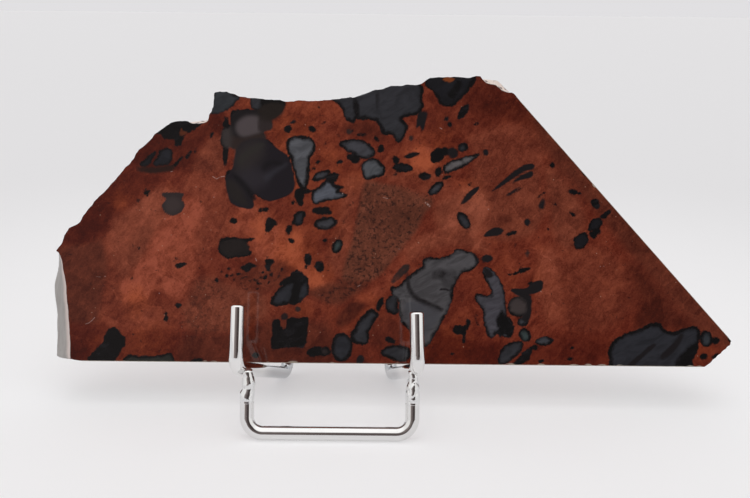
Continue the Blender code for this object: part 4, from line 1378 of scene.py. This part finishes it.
def slab_grid():
    """The slab as a block of unit size: the face at height 0, its edge in layers, the back below."""
    mesh = bmesh.new()
    bmesh.ops.create_grid(mesh, x_segments=COLUMNS, y_segments=ROWS, size=0.5)
    for _ in LAYERS[1:]:
        border = [edge for edge in mesh.edges if edge.is_boundary]
        if len(border) > 2 * (COLUMNS + ROWS):
            lowest = min(edge.verts[0].co.z for edge in border)
            border = [edge for edge in border if edge.verts[0].co.z == lowest]
        made = bmesh.ops.extrude_edge_only(mesh, edges=border)["geom"]
        moved = [piece for piece in made if isinstance(piece, bmesh.types.BMVert)]
        bmesh.ops.translate(mesh, vec=(0, 0, -1), verts=moved)
    back = bmesh.ops.create_grid(mesh, x_segments=COLUMNS // 2, y_segments=ROWS // 2, size=0.5)["verts"]
    bmesh.ops.translate(mesh, vec=(0, 0, 1 - len(LAYERS)), verts=back)
    faces = {face for vert in back for face in vert.link_faces}
    bmesh.ops.reverse_faces(mesh, faces=list(faces))
    rim = {edge for face in faces for edge in face.edges if edge.is_boundary}
    bmesh.ops.subdivide_edges(mesh, edges=list(rim), cuts=1)
    bmesh.ops.remove_doubles(mesh, verts=mesh.verts, dist=SAME_PLACE)
    return mesh


def lay_into_outline(mesh):
    """Moves the block's points into the slab's outline. Returns each point's place and depth."""
    grid = np.array([vert.co for vert in mesh.verts])
    columns = np.round((grid[:, 0] + 0.5) * COLUMNS)
    rows = np.round((grid[:, 1] + 0.5) * ROWS)
    steps = np.round(-grid[:, 2]).astype(int)
    ring = slab_ring()
    rings = [layer_places(ring, layer) for layer in LAYERS]
    flat = np.zeros((len(grid), 2))
    last = len(LAYERS) - 1
    for step in (0, last):
        here = steps == step
        flat[here] = filled(rings[step], columns[here], rows[here])
    for k in np.flatnonzero((steps > 0) & (steps < last)):
        flat[k] = rings[steps[k]][ring_index(int(columns[k]), int(rows[k])) % len(ring)]
    deep = np.array(LAYERS)[steps]
    y = EDGE_Y + deep * THICKNESS * math.cos(LEAN) + flat[:, 1] * math.sin(LEAN)
    z = EDGE_Z - deep * THICKNESS * math.sin(LEAN) + flat[:, 1] * math.cos(LEAN)
    for vert, place in zip(mesh.verts, np.stack([flat[:, 0], y, z], axis=1)):
        vert.co = place
    return columns, rows, steps, flat, deep, ring


# How many points each stretch of an outline and each lens gets, and how far out distances are worked out.
OUTLINE_STEPS = 3
LENS_POINTS = 18
FAR = 16.0

# The black rim of a lens as a share of its half width, how far black glass keeps out of the hearts, and
# the values that a division doesn't go below.
LENS_RIM = 0.34
BLACK_MARGIN = 0.5
FAINTEST_VEIL = 0.001
NO_SPAN = 1e-12


def catmull(corners):
    """A closed outline led smoothly through its corners."""
    p1 = np.array(corners, float)
    p0, p2, p3 = np.roll(p1, 1, 0), np.roll(p1, -1, 0), np.roll(p1, -2, 0)
    parts = []
    for t in np.arange(OUTLINE_STEPS) / OUTLINE_STEPS:
        parts.append(0.5 * (2 * p1 + (p2 - p0) * t + (2 * p0 - 5 * p1 + 4 * p2 - p3) * t**2
                            + (3 * p1 - p0 - 3 * p2 + p3) * t**3))
    return np.stack(parts, axis=1).reshape(-1, 2)


def ellipse(x, y, half_length, half_width, turn):
    angles = np.arange(LENS_POINTS) / LENS_POINTS * 2 * math.pi
    across = half_length * np.cos(angles)
    down = half_width * np.sin(angles)
    turn = math.radians(turn)
    return np.stack([x + across * math.cos(turn) + down * math.sin(turn),
                     y - across * math.sin(turn) + down * math.cos(turn)], axis=1)


def signed_distance(points, outline):
    """Pixels from each point to a closed outline, less than zero inside it, and FAR beyond reach."""
    found = np.full(len(points), FAR)
    low, high = outline.min(0) - FAR, outline.max(0) + FAR
    near = np.flatnonzero(((points > low) & (points < high)).all(1))
    if not len(near):
        return found
    p = points[near][:, None, :]
    a = outline[None]
    b = np.roll(outline, -1, 0)[None]
    run = b - a
    share = np.clip(((p - a) * run).sum(-1) / np.maximum((run**2).sum(-1), NO_SPAN), 0, 1)
    away = np.sqrt(((p - a - run * share[..., None]) ** 2).sum(-1)).min(1)
    rises = (a[..., 1] > p[..., 1]) != (b[..., 1] > p[..., 1])
    slope = np.where(run[..., 1] == 0, 1, run[..., 1])
    crossing = p[..., 0] < run[..., 0] * (p[..., 1] - a[..., 1]) / slope + a[..., 0]
    enclosed = (rises & crossing).sum(1) % 2 == 1
    found[near] = np.minimum(np.where(enclosed, -away, away), FAR)
    return found


def smooth_step(value, low, high):
    t = np.clip((value - low) / (high - low), 0, 1)
    return t * t * (3 - 2 * t)


def inside(points, outline, low, high):
    """0 at low and 1 at high, in pixels inside an outline."""
    return smooth_step(-signed_distance(points, catmull(outline)), low, high)


def spot(points, x, y, reach):
    """A soft round spot: 1 at its middle."""
    return np.exp(-((points - (x, y)) ** 2).sum(1) / reach**2)


def markings(points):
    """What the shader needs of the markings at each point, by name. Distances are in millimetres."""
    count = len(points)
    glass = np.full(count, FAR)
    heart = np.full(count, FAR)
    heart_colour = np.zeros((count, 4))
    shapes = [(colour, rim, catmull(outline)) for colour, rim, outline in HEARTED.values()]
    for x, y, half_length, half_width, turn, colour in LENSES:
        shapes.append((colour, LENS_RIM * half_width, ellipse(x, y, half_length, half_width, turn)))
    shapes += [(None, 0, catmull(outline)) for outline in BLACK.values()]
    shapes += [(None, 0, ellipse(*lens)) for lens in BLACK_LENSES]
    for colour, rim, outline in shapes:
        away = signed_distance(points, outline)
        glass = np.minimum(glass, away)
        if colour is None:
            continue
        closer = away + rim < heart
        heart_colour[closer] = (*colour, 1)
        heart = np.minimum(heart, away + rim)
    for outline in BLACK.values():
        heart = np.maximum(heart, -signed_distance(points, catmull(outline)) - BLACK_MARGIN)

    veil = np.zeros(count)
    veil_colour = np.zeros((count, 4))
    for colour, strength, softness, outline in VEILS.values():
        amount = strength * inside(points, outline, -softness / 2, softness / 2)
        veil_colour += (np.array((*colour, 1)) - veil_colour) * amount[:, None]
        veil += (1 - veil) * amount
    veil_colour /= np.maximum(veil, FAINTEST_VEIL)[:, None]

    tone = np.full(count, COMMON_TONE)
    brown = np.zeros(count)
    for level, browner, softness, outline in FRAGMENTS.values():
        share = inside(points, outline, -softness, softness)
        tone += (level - tone) * share
        brown += (browner - brown) * share
    for x, y, reach, lift in TONES:
        tone += lift * spot(points, x, y, reach)
    # painted shade towards the bottom of the face
    tone += BOTTOM_PAINTED_SHADE * smooth_step(points[:, 1], BOTTOM_PAINTED_SHADE_FROM, BOTTOM_PAINTED_SHADE_TO)
    warm = np.zeros(count)
    for x, y, reach, strength in WARM:
        warm = np.maximum(warm, strength * spot(points, x, y, reach))
    speckled = np.zeros(count)
    for amount, low, high, outline in SPECKLED:
        speckled = np.maximum(speckled, amount * inside(points, outline, low, high))
    to_mm = PIXEL / MM
    return {"glass": glass * to_mm, "heart": heart * to_mm, "heart_colour": heart_colour, "veil": veil,
            "veil_colour": veil_colour, "tone": tone, "warm": warm, "brown": brown, "speckled": speckled}


# How far the markings wander on their way to the back, how large the wandering's waves are, and where its
# noise is read for the second direction.
BACK_DRIFT = 5 * MM
BACK_DRIFT_SIZE = 11 * MM
SECOND_DRIFT = Vector((7, 3, 5))


def drifted(flat, deep):
    """Markings wander as they go down into the stone, so the back isn't the face seen through."""
    moved = flat.copy()
    for k in np.flatnonzero(deep > 0):
        place = Vector((flat[k, 0], flat[k, 1], 0)) / BACK_DRIFT_SIZE
        moved[k, 0] += BACK_DRIFT * deep[k] * noise.noise(place)
        moved[k, 1] += BACK_DRIFT * deep[k] * noise.noise(place + SECOND_DRIFT)
    return moved


# The slab's finishes in the order of their slots, the slot of each kind of side, and its sharp edges.
STONE_FINISHES = (polished_stone, broken_glass, sawn_stone, end_break_mirrored, sawn_back)
FACE_SLOT = 0
BACK_SLOT = 4
SIDE_SLOTS = {"broken": 1, "sawn": 2, "end": 3, "foot": 3}
STONE_SHARP = math.radians(28)


def make_slab():
    mesh = slab_grid()
    columns, rows, steps, flat, deep, ring = lay_into_outline(mesh)
    mesh.verts.index_update()
    last = len(LAYERS) - 1
    for face in mesh.faces:
        found = [vert.index for vert in face.verts]
        if all(steps[k] == 0 for k in found):
            face.material_index = FACE_SLOT
        elif all(steps[k] == last for k in found):
            face.material_index = BACK_SLOT
        else:
            places = [ring_index(int(columns[k]), int(rows[k])) % len(ring) for k in found]
            first, then = min(places), max(places)
            face.material_index = SIDE_SLOTS[ring[first if then - first < 2 else then][1]]
        face.smooth = True
    bmesh.ops.recalc_face_normals(mesh, faces=mesh.faces)
    data = bpy.data.meshes.new("polished_obsidian")
    mesh.to_mesh(data)
    mesh.free()
    data.set_sharp_from_angle(angle=STONE_SHARP)
    moved = drifted(flat, deep)
    values = markings(to_photo(moved[:, 0], moved[:, 1]))
    values["deep"] = deep
    scars = [flake_bite(Vector(place))[1] if 0 < depth < 1 else 0 for place, depth in zip(flat, deep)]
    values["flake"] = np.array(scars)
    for name, numbers in values.items():
        if numbers.ndim == 2:
            layer = data.attributes.new(name, "FLOAT_COLOR", "POINT")
            layer.data.foreach_set("color", numbers.astype(np.float32).ravel())
        else:
            layer = data.attributes.new(name, "FLOAT", "POINT")
            layer.data.foreach_set("value", numbers.astype(np.float32))
    for make_finish in STONE_FINISHES:
        data.materials.append(make_finish())
    return place_piece("polished_obsidian", data, "obsidian", "obsidian_slab")


def place_piece(name, data, slot, *nodes):
    """Puts a finished mesh in the scene as a piece that rides on the one body."""
    piece = bpy.data.objects.new(name, data)
    bpy.context.scene.collection.objects.link(piece)
    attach(piece, "root")
    if nodes:
        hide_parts(*nodes)
    return piece


# The easel's wires.

def rounded(corners, radii):
    """A centre line through the corners, each turned on an arc of its own radius."""
    line = [corners[0]]
    for before, corner, after, radius in zip(corners, corners[1:], corners[2:], radii):
        back = (before - corner).normalized()
        ahead = (after - corner).normalized()
        half = back.angle(ahead) / 2
        reach = radius / math.tan(half)
        centre = corner + (back + ahead).normalized() * (radius / math.sin(half))
        start = corner + back * reach - centre
        end = corner + ahead * reach - centre
        turned = [start.slerp(end, k / BEND_STEPS).normalized() for k in range(BEND_STEPS + 1)]
        line += [centre + direction * radius for direction in turned]
    line.append(corners[-1])
    return line


def round_end():
    """How far from its tip a softly rounded end has which share of the wire's radius."""
    turns = [math.pi / 2 * step / ROUND_END_STEPS for step in range(ROUND_END_STEPS + 1)]
    return [(END_ROUNDING * (1 - math.cos(turn)), 1 - END_ROUNDING / WIRE_RADIUS * (1 - math.sin(turn)))
            for turn in turns]


def slim_end():
    """The same for an end that goes into a weld, which is slimmer as far as a small shoulder."""
    return [(0, SLIM_SHARE), (SLIM_LENGTH, SLIM_SHARE), (SLIM_LENGTH + SHOULDER_LENGTH, 1.0)]


def with_ends(line, end):
    """The centre line with the share of the radius at each point."""
    ends = []
    for tip, inner in ((line[0], line[1]), (line[-1], line[-2])):
        direction = (inner - tip).normalized()
        ends.append([(tip + direction * reach, share) for reach, share in end])
    return ends[0] + [(point, 1.0) for point in line[1:-1]] + ends[1][::-1]


def wire_mesh(name, line, finish, end):
    """A round wire along a centre line, made a mesh with its caps closed."""
    curve = bpy.data.curves.new(name, "CURVE")
    curve.dimensions = "3D"
    curve.bevel_depth = WIRE_LOOKS
    curve.bevel_resolution = WIRE_FACETS
    curve.use_fill_caps = True
    spline = curve.splines.new("POLY")
    places = with_ends(line, end)
    spline.points.add(len(places) - 1)
    for point, (place, share) in zip(spline.points, places):
        point.co = (*place, 1)
        point.radius = share
    guide = bpy.data.objects.new(name + "_guide", curve)
    bpy.context.scene.collection.objects.link(guide)
    bpy.context.view_layer.update()
    data = bpy.data.meshes.new_from_object(guide.evaluated_get(bpy.context.evaluated_depsgraph_get()))
    bpy.data.objects.remove(guide)
    mesh = bmesh.new()
    mesh.from_mesh(data)
    bmesh.ops.remove_doubles(mesh, verts=mesh.verts, dist=WIRE_JOINED)
    bmesh.ops.recalc_face_normals(mesh, faces=mesh.faces)
    mesh.to_mesh(data)
    mesh.free()
    data.name = name
    data.materials.clear()
    data.materials.append(finish)
    data.shade_smooth()
    data.set_sharp_from_angle(angle=WIRE_SHARP)
    return data


def arm_height(y):
    """Height of the arms' centre line: it passes one gap under the slab's front lower edge."""
    clear = WIRE_RADIUS + GAP
    start_y = EDGE_Y - clear * math.sin(ARM_SLOPE)
    start_z = EDGE_Z - clear * math.cos(ARM_SLOPE)
    return start_z - (y - start_y) * math.tan(ARM_SLOPE)


def hook_tip(side):
    """The hook stands parallel to the slab, so its tip is reached out from the slab's face."""
    return Vector((side["tip"] * MM, 0, 0)) + on_slab(0, -HOOK_REACH, side["rise"] * MM)


def front_corner(side):
    """Where the line of the hook meets the line of the arm."""
    tip = hook_tip(side)
    slope = math.tan(ARM_SLOPE)
    drop = (tip.z - arm_height(tip.y)) / (math.cos(LEAN) + slope * math.sin(LEAN))
    y = tip.y - drop * math.sin(LEAN)
    return Vector((side["front"] * MM, y, arm_height(y)))


def rear_corner(side):
    """Where arm and back-rest meet, so that the bend between them just touches the table."""
    bend_start = WIRE_RADIUS + REAR_BEND * (1 - math.cos(ARM_SLOPE))
    turn = math.pi / 2 - BACKREST_LEAN + ARM_SLOPE
    z = bend_start - REAR_BEND * math.tan(turn / 2) * math.sin(ARM_SLOPE)
    y = EDGE_Y + (arm_height(EDGE_Y) - z) / math.tan(ARM_SLOPE)
    return Vector((side["rear"] * MM, y, z))


def backrest_top(side):
    """Where the back-rest comes to one gap from the back of the slab."""
    foot = rear_corner(side)
    behind_face = (foot.y - EDGE_Y) * math.cos(LEAN) - (foot.z - EDGE_Z) * math.sin(LEAN)
    spare = behind_face - THICKNESS - WIRE_RADIUS - GAP
    length = spare / math.sin(LEAN - BACKREST_LEAN) - BACKREST_SHORTER
    return foot + Vector((0, math.sin(BACKREST_LEAN), math.cos(BACKREST_LEAN))) * length


def leg_top(side):
    """Where the front leg's end stands, one gap under the arm."""
    y = EDGE_Y - LEG_TOP_REACH
    z = arm_height(y) - (WIRE_RADIUS + GAP) / math.cos(ARM_SLOPE) - GAP
    return Vector((side["leg"] * MM, y, z))


def leg_foot(side):
    """Where the line of the front leg meets the line of the bar."""
    return Vector((side["leg"] * MM, EDGE_Y - BAR_REACH, BAR_HEIGHT))


def make_easel():
    chrome = chromed_wire("chromed_cradle", CHROME, CHROME_IN_PAINTED_SHADE)
    # painted shade: the foot wire gets a darker copy of the plating
    shaded_foot_chrome = chromed_wire("chromed_foot_shaded", SHADED_FOOT_CHROME, SHADED_FOOT_CHROME)
    halves = [
        [hook_tip(side), front_corner(side), rear_corner(side), backrest_top(side)]
        for side in (LEFT_WIRE, RIGHT_WIRE)
    ]
    radii = [HOOK_BEND, REAR_BEND, BACKREST_CORNER, BACKREST_CORNER, REAR_BEND, HOOK_BEND]
    cradle = wire_mesh("cradle", rounded(halves[0] + halves[1][::-1], radii), chrome, round_end())
    place_piece("cradle", cradle, "chromed_wire", "cradle_wire")
    ends = []
    for side in (LEFT_WIRE, RIGHT_WIRE):
        ends.append([leg_top(side), leg_foot(side)])
    line = rounded(ends[0] + ends[1][::-1], [LEG_BEND, LEG_BEND])
    leg = wire_mesh("foot_wire", line, shaded_foot_chrome, slim_end())
    place_piece("foot_wire", leg, "chromed_wire", "front_leg")


# Welds: under each arm the foot's upright goes into a neck of welded metal, drawn as rings down its length.
# Each ring is its distance below the arm's centre line, its radius and its shift to the right, in mm.
NECKS = {
    "left_weld": [
        (0.0, 1.1, 0.1), (1.3, 1.36, 0.36), (2.2, 1.44, 0.42), (4.4, 1.43, 0.38), (5.4, 1.5, 0.26),
        (6.2, 1.66, 0.02), (7.8, 1.61, 0.0)],
    "right_weld": [
        (0.0, 1.0, 0.0), (1.6, 1.12, 0.1), (2.6, 1.2, 0.1), (3.8, 1.46, 0.05), (5.2, 1.65, 0.0),
        (6.2, 1.66, 0.0), (7.8, 1.61, 0.0)],
}
NECK_SLANT = {"left_weld": 0.75, "right_weld": 0.2}
NECK_WAVE = {"left_weld": 0.07, "right_weld": 0.05}
NECK_WAVE_LENGTH = 2.9
NECK_WAVE_START = {"left_weld": 0.4, "right_weld": 0.9}
NECK_WAVE_END = 5.0
NECK_LUMPS = 0.06
NECK_LUMP_SIZE = 1.3
NECK_LUMP_SPACING = 1.4
NECK_CAP = 0.04
NECK_AROUND = 64
NECK_DOWN = 96
ON_AXIS = 1e-6

# A leaf of metal that ran down over the right neck: middle of it, half length, half width and height, in mm.
LEAF_BELOW = 3.9
LEAF_HALF_LENGTH = 1.9
LEAF_HALF_WIDTH = 0.85
LEAF_HEIGHT = 0.22
LEAF_SLOPE = 0.3


def between(stops, place):
    """The rings' radius and shift at one distance down the neck."""
    for (low, *first), (high, *second) in zip(stops, stops[1:]):
        if place <= high:
            share = max(0.0, (place - low) / (high - low))
            return [a + (b - a) * share for a, b in zip(first, second)]
    return stops[-1][1:]


def leaf_height(below, across):
    """How far the leaf stands out of the neck, there."""
    along = (below - LEAF_BELOW) / LEAF_HALF_LENGTH
    aside = (across + along * LEAF_SLOPE) / (LEAF_HALF_WIDTH * max(0.1, 1 - along * along))
    return LEAF_HEIGHT * math.sqrt(max(0.0, 1 - along * along) * max(0.0, 1 - aside * aside))


def make_neck(name, side, finish):
    """One weld: a sphere drawn out into the neck's rings, from inside the arm to below the shoulder."""
    rings = NECKS[name]
    top = leg_top(side)
    arm = Vector((top.x, top.y, arm_height(top.y)))
    down = (leg_foot(side) - top).normalized()
    length = rings[-1][0]
    front = Vector((0, -1, 0))
    mesh = bmesh.new()
    bmesh.ops.create_uvsphere(mesh, u_segments=NECK_AROUND, v_segments=NECK_DOWN, radius=1)
    for vert in mesh.verts:
        share = math.acos(max(-1.0, min(1.0, vert.co.z))) / math.pi
        around = Vector((vert.co.x, vert.co.y, 0))
        around = around.normalized() if around.length > ON_AXIS else front
        cap = min(1.0, share / NECK_CAP, (1 - share) / NECK_CAP)
        below = share * length
        radius, shift = between(rings, below - NECK_SLANT[name] * around.x)
        turn = (below - NECK_WAVE_START[name]) / NECK_WAVE_LENGTH * 2 * math.pi
        radius += NECK_WAVE[name] * math.cos(turn) * smooth_step(below, NECK_WAVE_END, NECK_WAVE_END - 1)
        place = Vector((around.x, around.y, below / NECK_LUMP_SIZE)) * NECK_LUMP_SPACING
        radius += NECK_LUMPS * noise.noise(place)
        if name == "right_weld" and around.y < 0:
            radius += leaf_height(below, around.x * radius)
        middle = arm + down * (below * MM) + Vector((shift * MM, 0, 0))
        vert.co = middle + around * (radius * math.sqrt(cap) * MM)
    bmesh.ops.recalc_face_normals(mesh, faces=mesh.faces)
    data = bpy.data.meshes.new(name)
    mesh.to_mesh(data)
    mesh.free()
    data.shade_smooth()
    data.materials.append(finish)
    place_piece(name, data, "chromed_wire")


# The studio: a pale table, painted paler near the slab and greyer far off as a painted pool of light, an
# overcast white room with one dark window, and a soft light above.
FLOOR_REACH = 40.0
FLOOR_LIT_NEAR = (0.95, 0.941, 0.95)
FLOOR_DIMMER_FAR = (0.786, 0.775, 0.786)
FLOOR_LIGHT_FADES = 0.38
FLOOR_ROUGHNESS = 0.8
ROOM_FOR_EYE = (0.752, 0.742, 0.758)
ROOM_FOR_LIGHT = 0.42
GLOSS_ABOVE = (1.3, 1.29, 1.28)
GLOSS_AROUND = (0.98, 0.965, 0.95)
GLOSS_BEHIND = (0.74, 0.745, 0.76)
DARK_WINDOW = (0.06, 0.045, 0.043)
WINDOW_EDGE = (0.3, 0.255, 0.245)

# The window's soft borders, as slopes from the stone: left, right, top, and where it is paler at the left.
# Then the directions, by y and z, in which the room counts as in front, behind and above.
WINDOW_LEFT = (-0.72, -0.58)
WINDOW_RIGHT = (0.86, 0.74)
WINDOW_TOP = (0.95, 0.8)
WINDOW_PALER = (-0.6, 0.35)
IN_FRONT = (0.0, -0.1)
BEHIND = (-0.1, 0.6)
ABOVE = (0.5, 0.95)
LEAST_AHEAD = 0.01

# Two broad soft lamps: power, how wide each looks, lean towards the front, and whether it throws shadows.
LAMPS = {
    "overhead": (0.16, math.radians(45), math.radians(8), True),
    "fill": (1.48, math.radians(80), math.radians(8), False),
}


def make_floor():
    mesh = bmesh.new()
    bmesh.ops.create_grid(mesh, x_segments=1, y_segments=1, size=FLOOR_REACH)
    data = bpy.data.meshes.new("table_top")
    mesh.to_mesh(data)
    mesh.free()
    finish = new_finish("table_top")
    away = finish.vector_maths("LENGTH", finish.coordinates(), output="Value")
    # painted light: the table is paler near the slab and greyer far off
    colour = finish.mix(away.step(0.0, FLOOR_LIGHT_FADES), FLOOR_LIT_NEAR, FLOOR_DIMMER_FAR)
    data.materials.append(finish.surface(Base_Color=colour, Roughness=FLOOR_ROUGHNESS))
    floor = bpy.data.objects.new("table_top", data)
    bpy.context.scene.collection.objects.link(floor)


def make_room():
    """White all round, but for a dark window where the photographer stands.

    The stone and the wire mirror it. To the camera and as a light it is plain.
    """
    world = bpy.data.worlds.new("room")
    bpy.context.scene.world = world
    finish = Finish(world)
    direction = finish.node("ShaderNodeTexCoord", {}, {}, "Generated")
    x, y, z = [finish.node("ShaderNodeSeparateXYZ", {}, {"Vector": direction}, axis) for axis in range(3)]
    ahead = (y * -1).over(LEAST_AHEAD)
    across = x / ahead
    window = across.step(*WINDOW_LEFT) * across.step(*WINDOW_RIGHT) * (z / ahead).step(*WINDOW_TOP)
    window_colour = finish.mix(across.step(*WINDOW_PALER), WINDOW_EDGE, DARK_WINDOW)
    gloss = finish.mix(y.step(*BEHIND), GLOSS_AROUND, GLOSS_BEHIND)
    gloss = finish.mix(z.step(*ABOVE), gloss, GLOSS_ABOVE)
    gloss = finish.mix(window * y.step(*IN_FRONT), gloss, window_colour)
    seen = finish.node("ShaderNodeLightPath", {}, {}, "Is Camera Ray")
    glossy = finish.node("ShaderNodeLightPath", {}, {}, "Is Glossy Ray")
    colour = finish.mix(glossy, (ROOM_FOR_LIGHT,) * 3, gloss)
    colour = finish.mix(seen, colour, ROOM_FOR_EYE)
    background = finish.node("ShaderNodeBackground", {}, {"Color": colour})
    finish.node("ShaderNodeOutputWorld", {}, {"Surface": background})


def make_lights():
    for name, (power, spread, lean, shadows) in LAMPS.items():
        light = bpy.data.lights.new(name, "SUN")
        light.angle = spread
        light.energy = power
        light.use_shadow = shadows
        lamp = bpy.data.objects.new(name, light)
        lamp.visible_glossy = False
        lamp.matrix_world = Matrix.Rotation(lean, 4, "X")
        bpy.context.scene.collection.objects.link(lamp)


make_camera()
make_slab()
make_easel()
weld = weld_metal()
make_neck("left_weld", LEFT_WIRE, weld)
make_neck("right_weld", RIGHT_WIRE, weld)
make_floor()
make_room()
make_lights()
bpy.context.scene.view_settings.view_transform = "Standard"
